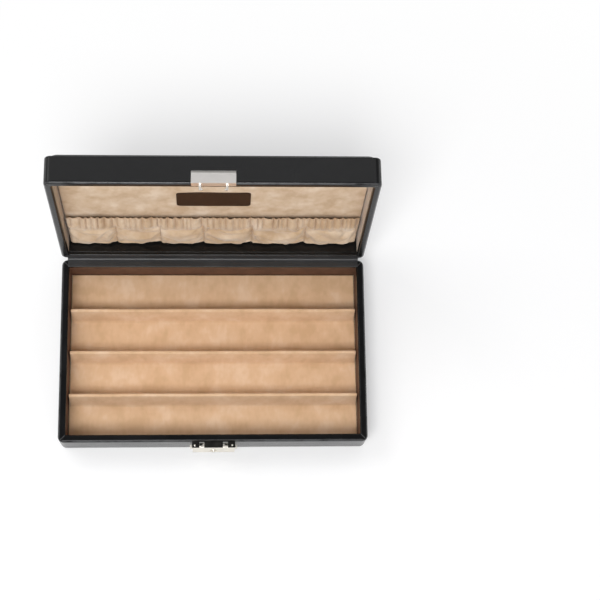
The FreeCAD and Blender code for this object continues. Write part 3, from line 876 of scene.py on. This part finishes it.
@dataclass(frozen=True)
class SoftPanel:
    """A covered or padded panel with rounded corners, a rolled edge, a crown and slack waves."""

    corner: float = 1.0 * MM
    roll: float = 0.4 * MM
    crown: float = 0.0
    wave: float = 0.0
    wave_length: float = 30 * MM
    pitch: float = 3.0 * MM
    roll_steps: int = 4
    fade_rolls: float = 4.0
    least_roll: float = 1.0 * MM

    def stations(self, half: float) -> list[float]:
        """The mesh lines across the panel, close together where its corners and edges turn.

        Args:
            half: Half of the panel's width.

        Returns:
            Their places from -half to half.
        """
        turns = [math.pi / 2 * step / self.roll_steps for step in range(self.roll_steps)]
        edge = [self.roll * (1 - math.cos(turn)) for turn in turns]
        bend = max(self.corner, self.roll)
        edge += even_steps(self.roll, bend, self.roll)[:-1] if bend > self.roll else []
        inner = even_steps(-half + bend, half - bend, self.pitch)
        return [-half + place for place in edge] + inner + [half - place for place in reversed(edge)]

    def height(self, across: float, along: float, inside: float, halves: Point2, seed: float) -> float:
        """The face's height above its plane.

        Args:
            across: The place along the first way.
            along: The place along the second way.
            inside: The distance from the edge.
            halves: Half the panel's width and height.
            seed: Moves the waves, so that panels differ.

        Returns:
            The height, below zero in the rolled edge.
        """
        rolled = min(inside, self.roll) - self.roll
        edge = math.sqrt(max(self.roll**2 - rolled**2, 0.0)) - self.roll
        swell = self.crown * (1 - (across / halves[0]) ** 2) * (1 - (along / halves[1]) ** 2)
        fade = min(1.0, inside / (self.fade_rolls * max(self.roll, self.least_roll)))
        spot = Vector((across, along, seed)) / self.wave_length
        return edge + swell + self.wave * fade * noise.fractal(spot, 1.0, 2.0, 2)

    def build(self, name: str, box: Box, facing: Facing) -> bpy.types.Object:
        """Models the panel in the space of a box.

        Args:
            name: The piece's name.
            box: The space that it fills.
            facing: The way that its finished face looks.

        Returns:
            The closed panel.
        """
        width, length, depth = facing.spans(box)
        halves = (width / 2, length / 2)
        columns, rows = self.stations(halves[0]), self.stations(halves[1])
        insets = [half - self.corner for half in halves]
        seed = sum(box.middle)

        def place(column: int, row: int) -> Vector:
            """Rounds the grid's corners and raises its face.

            Args:
                column: The mesh line across.
                row: The mesh line along.

            Returns:
                The point.
            """
            flat = Vector((columns[column], rows[row]))
            core = Vector(max(-inset, min(inset, value)) for inset, value in zip(insets, flat))
            off = flat - core
            reach = max(abs(off.x), abs(off.y))
            spot = core + off * (reach / off.length) if off.length > 0 else flat
            inside = min(halves[0] - abs(flat.x), halves[1] - abs(flat.y))
            return Vector((*spot, self.height(spot.x, spot.y, inside, halves, seed)))

        piece = shaped(name, len(columns) - 1, len(rows) - 1, place)
        with editing(piece) as mesh:
            for edge in mesh.edges:
                edge.select_set(edge.is_boundary)
            drop = {"value": (0.0, 0.0, self.roll - depth)}
            bpy.ops.mesh.extrude_region_move(TRANSFORM_OT_translate=drop)
            bpy.ops.mesh.edge_face_add()
        piece.data.transform(facing.seat(box))
        outward(piece)
        smoothed(piece)
        return piece


@dataclass(frozen=True)
class SweptSheet:
    """A cloth or leather sheet, still without thickness, that follows one profile across the case."""

    pitch: float = 3.0 * MM

    def build(
        self, name: str, span: Point2, profile: Sequence[Point2], wobble: Wobble | None = None
    ) -> bpy.types.Object:
        """Models the sheet.

        Args:
            name: The piece's name.
            span: Its two ends on X.
            profile: Points on Y and Z, from one edge to the other.
            wobble: How far a point at a place on X leaves the profile.

        Returns:
            The sheet.
        """
        stations = even_steps(span[0], span[1], self.pitch)

        def place(column: int, row: int) -> Vector:
            """A profile point at one station, with its wobble.

            Args:
                column: The station.
                row: The profile's point.

            Returns:
                The point.
            """
            point = profile[row]
            shift = wobble(stations[column], point) if wobble else (0.0, 0.0)
            return Vector((stations[column], point[0] + shift[0], point[1] + shift[1]))

        return shaped(name, len(stations) - 1, len(profile) - 1, place)


# Base


@dataclass
class Tray:
    """The velour floor of the tray and its three leaning dividers."""

    frame: CaseFrame
    floor: SoftPanel = SoftPanel(wave=0.22 * MM, wave_length=28 * MM, pitch=2.5 * MM)
    floor_reach: float = 0.8 * MM
    divider_count: int = 3
    velour: float = 0.7 * MM
    front_run: float = 4.6 * MM
    rear_run: float = 0.8 * MM
    foot_flare: float = 1.2 * MM
    foot_round: float = 2.0 * MM
    top_round: float = 0.95 * MM
    end_round: float = 0.4 * MM
    path_step: float = 1.2 * MM
    sway: float = 0.35 * MM
    sway_length: float = 40 * MM
    sway_seed: float = 7.3
    sag_share: float = 0.6
    sag_stretch: float = 1.7
    sag_seed: Point2 = (3.1, 5.0)

    def build(self) -> None:
        """Models and dresses the floor and the dividers."""
        card = self.frame.box("tray_velour")
        reach = Vector((self.floor_reach, self.floor_reach, 0.0))
        floor_box = Box(card.low - reach, card.high + reach)
        floor = self.floor.build("tray_floor_velour", floor_box, Facing.UP)
        self.frame.settle(floor, Finishes.TRAY_VELOUR, "beige_velour", "tray_velour")
        floor_box.size.x
        floor_box.size.y
        for number in range(1, self.divider_count + 1):
            self.divider(number)

    def divider(self, number: int) -> None:
        """Models one divider's cover, folded over its card core.

        Args:
            number: Counts the dividers from the rear.
        """
        node = f"divider_velour_{number}"
        box = self.frame.box(node)
        front_foot, rear_foot = box.low.y, box.high.y
        corners = [
            (front_foot - self.foot_flare, box.low.z),
            (front_foot, box.low.z + self.foot_flare),
            (front_foot + self.front_run, box.high.z),
            (rear_foot - self.rear_run, box.high.z),
            (rear_foot, box.low.z),
        ]
        profile = rounded_path(corners, (self.foot_round, self.top_round, self.top_round), self.path_step)
        tall = box.size.z

        def sway(across: float, point: Point2) -> Point2:
            """Leans the top a little to and fro, as soft covers do.

            Args:
                across: The place on X.
                point: The profile's point.

            Returns:
                How far the point moves on Y and Z.
            """
            share = (point[1] - box.low.z) / tall
            lean = noise.noise(Vector((across / self.sway_length, number * self.sway_seed, 0.0)))
            along = across / (self.sag_stretch * self.sway_length)
            sag = noise.noise(Vector((along, number * self.sag_seed[0], self.sag_seed[1])))
            return self.sway * share * lean, self.sway * self.sag_share * share**2 * min(sag, 0.0)

        piece = SweptSheet().build(f"divider_cover_{number}", (box.low.x, box.high.x), profile, sway)
        with editing(piece) as mesh:
            for end in (box.low.x, box.high.x):
                bpy.ops.mesh.select_all(action="DESELECT")
                for edge in mesh.edges:
                    at_end = all(abs(vertex.co.x - end) < CLOSE for vertex in edge.verts)
                    edge.select_set(edge.is_boundary and at_end)
                bpy.ops.mesh.edge_face_add()
        outward(piece)
        sharp = math.radians(60)
        modified(piece, "BEVEL", width=self.end_round, segments=2, limit_method="ANGLE", angle_limit=sharp)
        modified(piece, "SOLIDIFY", thickness=self.velour, offset=-1.0)
        smoothed(piece)
        self.frame.settle(piece, Finishes.TRAY_VELOUR, "beige_velour", node)
        cut = (box.size.x + 2 * box.size.y, path_length(profile))


@dataclass
class WallLinings:
    """The thin linings on the inner faces of the walls, in the base and in the lid."""

    frame: CaseFrame
    panel: SoftPanel = SoftPanel(corner=0.5 * MM, pitch=6 * MM)
    inward: Mapping[str, Facing] = field(
        default_factory=lambda: {
            "front": Facing.REAR,
            "rear": Facing.FRONT,
            "left": Facing.RIGHT,
            "right": Facing.LEFT,
        }
    )

    def build(self, half: str, finish: Finishes, slot: str, sides: Sequence[str]) -> None:
        """Models and dresses the linings of one half.

        Args:
            half: base or lid.
            finish: Their finish.
            slot: The record's material slot.
            sides: Which walls get one.
        """
        for side in sides:
            node = f"{half}_lining_{side}"
            box = self.frame.box(node)
            facing = self.inward[side]
            piece = self.panel.build(f"{half}_wall_lining_{side}", box, facing)
            self.frame.settle(piece, finish, slot, node)
            width, length, _ = facing.spans(box)


# Lid


@dataclass
class LidTop:
    """The padded leather panel on top of the lid."""

    frame: CaseFrame
    panel: SoftPanel = SoftPanel(
        corner=5 * MM, roll=2.2 * MM, crown=0.9 * MM, wave=0.05 * MM, wave_length=35 * MM, roll_steps=8
    )

    def build(self) -> None:
        """Models and dresses the panel."""
        piece = self.panel.build("lid_top_panel", self.frame.box("lid_panel_leather"), Facing.UP)
        self.frame.settle(piece, Finishes.PANEL_LEATHER, "black_leather", "lid_panel_leather", "lid_pad")


@dataclass
class LidLining:
    """The upholstered lining of the lid, with its plain patch."""

    frame: CaseFrame
    panel: SoftPanel = SoftPanel(
        corner=1.2 * MM, roll=1.3 * MM, crown=0.5 * MM, wave=0.45 * MM, wave_length=26 * MM, pitch=2.2 * MM
    )
    patch: SoftPanel = SoftPanel(corner=3.5 * MM, roll=0.35 * MM, crown=0.15 * MM, pitch=2 * MM)
    patch_lift: float = 0.35 * MM

    def build(self) -> None:
        """Models and dresses the lining and the patch."""
        lining = self.panel.build("lid_lining_pad", self.frame.box("lid_lining_velour"), Facing.DOWN)
        self.frame.settle(lining, Finishes.LID_VELOUR, "beige_velour", "lid_lining_velour")
        box = self.frame.box("label_patch")
        lifted = Box(box.low - Vector((0, 0, self.patch_lift)), box.high)
        patch = self.patch.build("plain_patch", lifted, Facing.DOWN)
        self.frame.settle(patch, Finishes.BROWN_LEATHER, "brown_leather", "label_patch")
        box.size.x
        box.size.y


@dataclass
class Pocket:
    """The gathered pocket on the lid's lining: six sewn bags with a ruffled elastic hem."""

    frame: CaseFrame
    seams: Sequence[float] = (-80 * MM, -44 * MM, -8 * MM, 32 * MM, 76 * MM)
    thickness: float = 0.5 * MM
    pitch: float = 1.05 * MM
    sewn_lift: float = 0.45 * MM
    most_lift: float = 7.5 * MM
    foot_round: float = 2.5 * MM
    foot_belly: float = 3.8 * MM
    belly: float = 4.6 * MM
    neck_belly: float = 4.0 * MM
    mouth_belly: float = 0.9 * MM
    seam_share: float = 0.3
    foot_seam_share: float = 0.75
    seam_reach: float = 0.6
    # Strength of the painted shade along the sewn seams below the hem.
    painted_seam_shade: float = 0.6
    near_seam: float = 2.2 * MM
    far_seam: float = 8.0 * MM
    foot_climb: float = 0.8 * MM
    hem: float = 13.0 * MM
    held_hem: float = 0.7
    gathered_hem: float = 1.7
    ruffle: float = 3.7 * MM
    frill: float = 2.5 * MM
    ruffle_length: float = 5.2 * MM
    drift: float = 0.9
    drift_length: float = 11 * MM
    lobe_size: float = 0.8
    lobe_spread: float = 0.35
    lobe_length: float = 9 * MM
    lobe_power: float = 0.85
    fold_width: float = 2.2
    crest: float = 3.2 * MM
    fullness: float = 1.07
    frames: int = 24
    sim_scale: float = 20.0
    sim_weight: float = 0.25
    feel: Mapping[str, float] = field(
        default_factory=lambda: {"quality": 4, "mass": 0.1, "air_damping": 1.0, "bending_stiffness": 1.2}
    )

    def in_bag(self, across: float, half: float) -> Point2:
        """How far a place lies from the seams on its left and its right.

        Args:
            across: The place on X.
            half: Half of the pocket's width.

        Returns:
            The two distances.
        """
        stops = (-half, *self.seams, half)
        number = min(max(bisect(stops, across), 1), len(stops) - 1)
        return across - stops[number - 1], stops[number] - across

    def in_hem(self, rise: float, tall: float) -> float:
        """How far up the hem a height above the foot lies, from 0 to 1."""
        return max(0.0, (rise - tall + self.hem) / self.hem)

    def lift(self, across: float, rise: float, tall: float, half: float) -> float:
        """How far the sewn cloth stands off the lining before it settles.

        Args:
            across: The place on X.
            rise: The height above the pocket's foot.
            tall: The pocket's height.
            half: Half of the pocket's width.

        Returns:
            The lift.
        """
        level = min(rise / (tall - self.hem), 1.0)
        left, right = self.in_bag(across, half)
        bow = math.sin(math.pi / 2 * min(1.0, left / self.near_seam))
        bow *= math.sin(math.pi / 2 * min(1.0, right / self.far_seam))
        tight = self.foot_seam_share + (self.seam_share - self.foot_seam_share) * min(2 * level, 1.0)
        bow = tight + (1 - tight) * bow
        rim = self.foot_belly + (self.neck_belly - self.foot_belly) * level
        swell = rim + (self.belly - rim) * math.sin(math.pi * level)
        foot = math.sqrt(min(1.0, rise / self.foot_round))
        leaning = swell * bow * foot + (self.mouth_belly - swell * bow) * self.in_hem(rise, tall)
        return self.sewn_lift + leaning + self.ruffle * self.gather(rise, tall) * self.lobe(across)

    def gather(self, rise: float, tall: float) -> float:
        """How much of the ruffles reaches a height above the foot, from 0 to 1."""
        climb = min(max((rise - tall + self.gathered_hem * self.hem) / self.hem, 0.0), 1.0)
        return climb**2 * (3 - 2 * climb)

    def lobe(self, across: float) -> float:
        """The ruffles' rounded lobes with narrow folds between them.

        Args:
            across: The place on X.

        Returns:
            How far the ruffle stands out, 0 in a fold and about 1 on a lobe.
        """
        drift = self.drift * noise.noise(Vector((across / self.drift_length, 3.0, 1.0)))
        size = self.lobe_size + self.lobe_spread * noise.noise(Vector((across / self.lobe_length, 8.0, 2.0)))
        return size * abs(math.sin(math.pi * (across / self.ruffle_length + drift))) ** self.lobe_power

    def build(self) -> None:
        """Models and dresses the pocket."""
        box = self.frame.box("pocket")
        face = self.frame.box("lid_lining_velour").low.z
        half, tall = box.size.x / 2, box.size.y + self.frill
        columns = even_steps(-half, half, self.pitch)
        rows = even_steps(0.0, tall, self.pitch)

        def sewn(column: int, row: int) -> Vector:
            """A point of the sewn cloth, with the lining as its floor.

            Args:
                column: The mesh line across.
                row: The mesh line up the pocket.

            Returns:
                The point, at the scale of the simulation.
            """
            across, rise = columns[column], rows[row]
            left, right = self.in_bag(across, half)
            climb = self.foot_climb * (left / (left + right)) ** 2 * (1 - rise / tall)
            stand = self.crest * self.in_hem(rise, tall) * (self.lobe(across) - 0.5)
            lift = self.lift(across, rise, tall, half)
            return Vector((across, rise + climb + stand, lift)) * self.sim_scale

        piece = shaped("gathered_pocket", len(columns) - 1, len(rows) - 1, sewn)
        # The fold attribute carries painted shade: full in the ruffles' narrow creases and partial along the
        # sewn seams below the hem.
        folds = piece.data.attributes.new(Finishes.POCKET_VELOUR.value.folds, "FLOAT", "POINT")
        held = []
        for vertex in piece.data.vertices:
            across, rise = vertex.co.x / self.sim_scale, vertex.co.y / self.sim_scale
            on_seam = min(self.in_bag(across, half)) < self.seam_reach * self.pitch
            crease_shade = max(0.0, 1 - self.fold_width * self.lobe(across)) * self.gather(rise, tall)
            seam_shade = self.painted_seam_shade if on_seam and rise < tall - self.hem else 0.0
            folds.data[vertex.index].value = max(crease_shade, seam_shade)
            at_foot = vertex.co.z < (self.sewn_lift + CLOSE) * self.sim_scale
            if on_seam or at_foot or rise > tall - self.held_hem * self.hem:
                held.append(vertex.index)
        self.fall(piece, held)
        low, high = self.sewn_lift * self.sim_scale, self.most_lift * self.sim_scale
        for vertex in piece.data.vertices:
            vertex.co.z = min(max(vertex.co.z, low), high)
        seat = Matrix.Translation((0.0, box.high.y, face)) @ Matrix.Rotation(math.pi, 4, "X")
        piece.data.transform(seat @ Matrix.Scale(1 / self.sim_scale, 4))
        modified(piece, "SUBSURF", levels=1, render_levels=1)
        modified(piece, "SOLIDIFY", thickness=self.thickness, offset=0.0)
        smoothed(piece, 80.0)
        self.frame.settle(piece, Finishes.POCKET_VELOUR, "beige_velour", "pocket")

    def fall(self, piece: bpy.types.Object, held: Sequence[int]) -> None:
        """Lets the fuller cloth fall into folds between its sewn lines.

        Args:
            piece: The sewn cloth, at the scale of the simulation.
            held: The vertices that stitches and elastic hold.
        """
        stitches = piece.vertex_groups.new(name="stitches")
        stitches.add(held, 1.0, "REPLACE")
        pick(piece)
        cloth = piece.modifiers.new("Cloth", "CLOTH")
        cloth.settings.vertex_group_mass = stitches.name
        cloth.settings.shrink_min = 1 - self.fullness
        cloth.settings.effector_weights.gravity = self.sim_weight
        for name, value in self.feel.items():
            setattr(cloth.settings, name, value)
        cloth.collision_settings.use_collision = False
        cloth.point_cache.frame_end = self.frames
        scene = bpy.context.scene
        scene.gravity = (0.0, -9.81, 0.0)
        for frame in range(1, self.frames + 1):
            scene.frame_set(frame)
        bpy.ops.object.modifier_apply(modifier=cloth.name)
        piece.vertex_groups.clear()
        scene.frame_set(1)
        scene.gravity = (0.0, 0.0, -9.81)
        lifts = sorted(vertex.co.z / self.sim_scale / MM for vertex in piece.data.vertices)
        LOG.info("pocket cloth stands %.2f to %.2f mm off the lining", lifts[0], lifts[-1])


@dataclass
class HingeLeather:
    """The leather strip that bends over the hinges, from the base's rear rim to the lid's."""

    frame: CaseFrame
    thickness: float = 0.45 * MM
    sheet: SweptSheet = SweptSheet(4 * MM)
    clear: float = 2.05 * MM
    wrap: Point2 = (186.0, 99.0)
    wrap_steps: int = 12
    gap: float = 0.5 * MM
    step: float = 1.0 * MM
    upright_steps: int = 5
    overhang: float = 4.0 * MM
    proud: float = 0.06 * MM
    nose: float = 0.35 * MM
    curl: Sequence[float] = (180.0, 157.0, 135.0, 112.0)

    @staticmethod
    def arc(middle: Point2, radius: float, turns: Sequence[float]) -> list[Point2]:
        """Points on Y and Z round a middle, at turns in radians."""
        return [(middle[0] + radius * math.cos(turn), middle[1] + radius * math.sin(turn)) for turn in turns]

    def build(self) -> None:
        """Models the strip as it lies with the lid open, bent round the hinge."""
        base, lid = self.frame.box("base_hinge_strip"), self.frame.box("lid_hinge_strip")
        hinge = self.frame.hinge
        start, end = map(math.radians, self.wrap)
        turns = [start + (end - start) * number / self.wrap_steps for number in range(self.wrap_steps + 1)]
        wrap = self.arc((hinge.y, hinge.z), self.clear, turns)
        level = base.high.z + self.proud
        front = base.low.y + self.nose
        flat = [(y, level) for y in even_steps(front, wrap[0][0] - self.gap, self.step)]
        nose = self.arc((front, level - self.nose), self.nose, [math.radians(turn) for turn in self.curl])
        first, top = Vector(wrap[-1]), (self.frame.opened @ Vector((0, lid.low.y, lid.low.z))).yz
        shares = [number / self.upright_steps for number in range(1, self.upright_steps + 1)]
        profile = nose + flat + wrap + [tuple(first.lerp(top, share)) for share in shares]
        span = (base.low.x - self.overhang, base.high.x + self.overhang)
        piece = self.sheet.build("hinge_leather", span, profile)
        modified(piece, "SOLIDIFY", thickness=self.thickness, offset=-1.0)
        smoothed(piece, 60.0)
        # The strip's paler leather is a painted sheen.
        Finishes.HINGE_LEATHER.onto(piece)
        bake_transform(piece)
        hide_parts("base_hinge_strip", "lid_hinge_strip")
        LOG.info("hinge_leather bends between base and lid")


# Lock


@dataclass
class LockWorks:
    """The blackened plates, flange and screws that show in the top of the lock when the lid is open."""

    frame: CaseFrame
    plate: SoftPanel = SoftPanel(corner=0.4 * MM, roll=0.1 * MM, pitch=2 * MM)
    overhang: float = 0.4 * MM
    front_lip: float = 1.5 * MM
    thick: float = 0.3 * MM
    slot_clear: float = 0.6 * MM
    screw: float = 0.75 * MM
    screw_round: float = 0.15 * MM
    screw_sides: int = 24
    screw_place: float = 15.4 * MM
    flange: float = 0.12 * MM
    flange_foot: float = 0.6 * MM
    flange_turns: Sequence[float] = (180, 165, 150, 135, 120, 108)
    rim_round: float = 2.0 * MM

    def build(self) -> None:
        """Models and dresses the plates beside the slots, their screws and the flange on the rim."""
        case, hook, wall = (self.frame.box(node) for node in ("lock_case", "hook_right", "base_leather"))
        inner, outer = hook.low.x - self.slot_clear, hook.high.x + self.slot_clear
        end = case.high.x + self.overhang
        front, top = case.low.y + self.front_lip, case.high.z
        spans = {"left": (-end, -outer), "middle": (-inner, inner), "right": (outer, end)}
        for side, (low, high) in spans.items():
            box = Box(Vector((low, front, top)), Vector((high, wall.low.y, top + self.thick)))
            plate = self.plate.build(f"lock_plate_{side}", box, Facing.UP)
            self.join(plate, Finishes.BLACKENED_STEEL, "steel")
        for number, across in enumerate((-self.screw_place, self.screw_place), 1):
            self.screw_head(number, (across, (front + case.high.y) / 2, top + self.thick))
        self.rim_flange((-end, end), top - self.flange_foot, wall)

    def screw_head(self, number: int, spot: Sequence[float]) -> None:
        """Models one small screw.

        Args:
            number: Counts the screws from the left.
            spot: The middle of its head.
        """
        deselect_all()
        sizes = {"vertices": self.screw_sides, "radius": self.screw, "depth": self.thick * 2}
        bpy.ops.mesh.primitive_cylinder_add(location=spot, **sizes)
        screw = bpy.context.active_object
        screw.name = screw.data.name = f"lock_screw_{number}"
        bpy.ops.object.transform_apply(location=True, rotation=True, scale=True)
        with editing(screw) as mesh:
            bpy.ops.mesh.select_mode(type="FACE")
            for face in mesh.faces:
                face.select_set(face.normal.z > 0.9)
            bpy.ops.mesh.bevel(offset=self.screw_round, segments=2, affect="EDGES")
        smoothed(screw, 40.0)
        self.join(screw, Finishes.NICKEL, "nickel")

    def rim_flange(self, span: Point2, foot: float, wall: Box) -> None:
        """Models the flange that laps over the rounded rim behind the plates.

        Args:
            span: Its two ends on X.
            foot: The height of its lower edge.
            wall: The box of the leather that it lies on.
        """
        centre = Vector((wall.low.y + self.rim_round, wall.high.z - self.rim_round))
        reach = self.rim_round + self.flange
        bends = [Vector((math.cos(turn), math.sin(turn))) for turn in map(math.radians, self.flange_turns)]
        profile = [(centre.x - reach, foot)] + [tuple(centre + reach * bend) for bend in bends]
        piece = SweptSheet().build("lock_flange", span, profile)
        modified(piece, "SOLIDIFY", thickness=self.flange, offset=-1.0)
        outward(piece)
        smoothed(piece)
        self.join(piece, Finishes.BLACKENED_STEEL, "steel")

    def join(self, piece: bpy.types.Object, finish: Finishes, slot: str) -> None:
        """Dresses a piece of the lock and seats it on the base.

        Args:
            piece: The piece.
            finish: Its finish.
            slot: The record's material slot; not used.
        """
        finish.onto(piece)
        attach(piece, self.frame.body_of["lock_case"])
        LOG.info("%s rides on the lock", piece.name)


@dataclass
class SliderSprings:
    """The bent springs behind the lock's sliders, copied in their resting shape."""

    frame: CaseFrame
    sides: Sequence[str] = ("left", "right")
    weld: float = 0.001 * MM

    def build(self) -> None:
        """Copies each spring, welds its doubled vertices and dresses it in steel."""
        joints = {joint["name"]: joint for joint in self.frame.record["behaviour"]["joints"]}
        for side in self.sides:
            node, joint = f"lock_spring_{side}", f"slider_{side}_press"
            box = self.frame.box(node)
            piece = bpy.data.objects.new(f"bent_spring_{side}", self.frame.nodes[node].data.copy())
            bpy.context.scene.collection.objects.link(piece)
            with editing(piece):
                bpy.ops.mesh.select_all(action="SELECT")
                bpy.ops.mesh.remove_doubles(threshold=self.weld)
            smoothed(piece, 40.0)
            self.frame.settle(piece, Finishes.STEEL, "steel", node)
            keep = 1 - max(joints[joint]["range_m"]) / box.size.x
            box.middle.y
            box.middle.z
            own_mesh(piece)


@dataclass
class Hardware:
    """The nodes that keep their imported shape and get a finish."""

    frame: CaseFrame
    wall: float = 6.2 * MM
    base_gloss: float = 0.2
    lid_gloss: float = 0.28
    finish_of_slot: Mapping[str, Finishes] = field(
        default_factory=lambda: {
            "black_leather": Finishes.BLACK_LEATHER,
            "board": Finishes.BOARD,
            "card": Finishes.CARD,
            "beige_velour": Finishes.TRAY_VELOUR,
            "brown_lining": Finishes.BROWN_LINING,
            "brown_leather": Finishes.BROWN_LEATHER,
            "foam": Finishes.FOAM,
            "nickel": Finishes.NICKEL,
            "steel": Finishes.STEEL,
        }
    )

    def dress(self, subparts: Sequence[Mapping[str, str]]) -> None:
        """Puts each node's finish on it.

        Args:
            subparts: The record's nodes with their material slots.
        """
        for part in subparts:
            self.finish_of_slot[part["material_slot"]].onto(self.frame.nodes[part["node"]])
        Finishes.UNDERSIDE.onto(self.frame.nodes["underside_sheet"])
        # The flap's brighter nickel is a painted reflection.
        Finishes.FLAP_NICKEL.onto(self.frame.nodes["lock_flap"])
        for hook in ("hook_left", "hook_right"):
            Finishes.SATIN_NICKEL.onto(self.frame.nodes[hook])
        # The two leather shells get the rim's painted highlight on their outer edges and mitre folds.
        base, lid = self.frame.box("base_leather"), self.frame.box("lid_leather")
        rim = Rim((base.high.x, base.high.y), base.high.z, 1.0, self.wall)
        back = self.frame.opened.inverted()
        turned = replace(rim, level=lid.low.z, upward=-1.0, shift=tuple(back.translation))
        turned = replace(turned, turn=self.frame.open_angle)
        for half, edge, gloss in (("base", rim, self.base_gloss), ("lid", turned, self.lid_gloss)):
            node = f"{half}_leather"
            leather = replace(Finishes.BLACK_LEATHER.value, name=f"{node}_rimmed", rim=edge, gloss=gloss)
            leather.onto(self.frame.nodes[node])
        LOG.info("%d packed nodes dressed", len(subparts))


# Studio


@dataclass(frozen=True)
class SoftBox:
    """A soft lamp."""

    name: str
    place: Sequence[float]
    size: Point2
    power: float

    def hang(self, target: Sequence[float]) -> None:
        """Hangs the lamp.

        Args:
            target: What it points at.
        """
        data = bpy.data.lights.new(self.name, "AREA")
        data.shape = "RECTANGLE"
        data.size, data.size_y = self.size
        data.energy = self.power
        made = bpy.data.objects.new(self.name, data)
        bpy.context.scene.collection.objects.link(made)
        made.location = self.place
        made.rotation_euler = (Vector(target) - Vector(self.place)).to_track_quat("-Z", "Y").to_euler()


@dataclass
class Studio:
    """Pale floor, soft light and the camera."""

    eye: Sequence[float] = (0.0, -0.27696, 1.26526)
    elevation: float = math.radians(75.5)
    focal_pixels: float = 1512.7
    frame_pixels: int = 600
    middle_pixel: float = 213.6
    sensor: float = 36.0
    clip: Point2 = (0.05, 50.0)
    floor_size: float = 12.0
    floor_drop: float = 0.2 * MM
    floor_glow: float = 0.22
    white_beyond: Point2 = (0.17, 0.55)
    shade_middle: Sequence[float] = (0.05, -0.10, 0.0)
    white_to: Sequence[str] = ("Camera", "Glossy", "Transmission")
    horizon: Colour = (1.0, 1.0, 1.0)
    overhead: Colour = (0.22, 0.22, 0.23)
    sky_rise: Point2 = (0.12, 0.75)
    target: Sequence[float] = (0.0, 0.02, 0.03)
    lamps: Sequence[SoftBox] = (
        SoftBox("front_box", (-0.30, -0.98, 1.95), (1.1, 0.8), 30.5),
        SoftBox("side_box", (-1.35, 0.75, 1.75), (1.2, 0.9), 10.0),
        SoftBox("rear_box", (0.10, 1.28, 2.16), (1.8, 0.5), 3.2),
    )

    def camera(self) -> None:
        """Sets the camera at the height and slant that the case is seen from."""
        data = bpy.data.cameras.new("camera")
        data.sensor_width = self.sensor
        data.lens = self.focal_pixels / self.frame_pixels * self.sensor
        data.clip_start, data.clip_end = self.clip
        made = bpy.data.objects.new("camera", data)
        bpy.context.scene.collection.objects.link(made)
        aside = math.atan((self.frame_pixels / 2 - self.middle_pixel) / self.focal_pixels)
        tilt = Matrix.Rotation(math.pi / 2 - self.elevation, 4, "X")
        made.matrix_world = Matrix.Translation(self.eye) @ tilt @ Matrix.Rotation(-aside, 4, "Y")
        bpy.context.scene.camera = made

    def floor(self) -> None:
        """Lays a pale floor that keeps the case's shadow."""
        deselect_all()
        bpy.ops.mesh.primitive_plane_add(size=self.floor_size, location=(0, 0, -self.floor_drop))
        floor = bpy.context.active_object
        floor.name = "floor"
        material = bpy.data.materials.new("pale_floor")
        material.use_nodes = True
        graph = Graph(material.node_tree)
        matt = graph.node("ShaderNodeBsdfDiffuse", None, {"Color": (1.0, 1.0, 1.0, 1.0)})
        white = graph.node("ShaderNodeEmission", None, {"Color": (1, 1, 1, 1), "Strength": 1.0})
        rays = [graph.node("ShaderNodeLightPath", None, None, f"Is {kind} Ray") for kind in self.white_to]
        seen = (rays[0] + rays[1] + rays[2]).at_most(1.0)
        spot = {0: graph.object_place(), 1: self.shade_middle}
        apart = graph.node("ShaderNodeVectorMath", {"operation": "DISTANCE"}, spot, "Value")
        glow = self.floor_glow + graph.ramp(apart, *self.white_beyond) * (1 - self.floor_glow)
        surface = graph.node("ShaderNodeMixShader", None, {0: seen * glow, 1: matt, 2: white})
        graph.node("ShaderNodeOutputMaterial", None, {"Surface": surface})
        floor.data.materials.append(material)
        floor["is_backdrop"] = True

    def world(self) -> None:
        """Surrounds the case with a studio that is paler near the floor than overhead."""
        world = bpy.data.worlds.new("studio")
        bpy.context.scene.world = world
        world.use_nodes = True
        graph = Graph(world.node_tree)
        way = graph.node("ShaderNodeTexCoord", out="Generated")
        rise = graph.node("ShaderNodeSeparateXYZ", None, {0: way}, "Z")
        shade = graph.mixed(graph.ramp(rise, *self.sky_rise), self.horizon, self.overhead)
        around = graph.node("ShaderNodeBackground", None, {"Color": shade, "Strength": 1.0})
        graph.node("ShaderNodeOutputWorld", None, {"Surface": around})

    def build(self) -> None:
        """Sets up the floor, the light and the camera."""
        bpy.context.scene.view_settings.view_transform = "Standard"
        self.floor()
        self.world()
        for lamp in self.lamps:
            lamp.hang(self.target)
        self.camera()


def main() -> None:
    """Builds and dresses every sub-assembly in order."""
    logging.basicConfig(level=logging.INFO, format="%(name)s: %(message)s")
    frame = CaseFrame()
    Hardware(frame).dress(frame.record["subparts"])
    Tray(frame).build()
    linings = WallLinings(frame)
    linings.build("base", Finishes.BROWN_LINING, "brown_lining", ("front", "rear", "left", "right"))
    # The lid's wall linings get the velour with painted shade.
    linings.build("lid", Finishes.LID_WALL_VELOUR, "beige_velour", ("front", "left", "right"))
    linings.build("lid", Finishes.BLACK_LEATHER, "black_leather", ("rear",))
    LidTop(frame).build()
    LidLining(frame).build()
    Pocket(frame).build()
    HingeLeather(frame).build()
    LockWorks(frame).build()
    SliderSprings(frame).build()
    Studio().build()


if __name__ == "__main__":
    main()
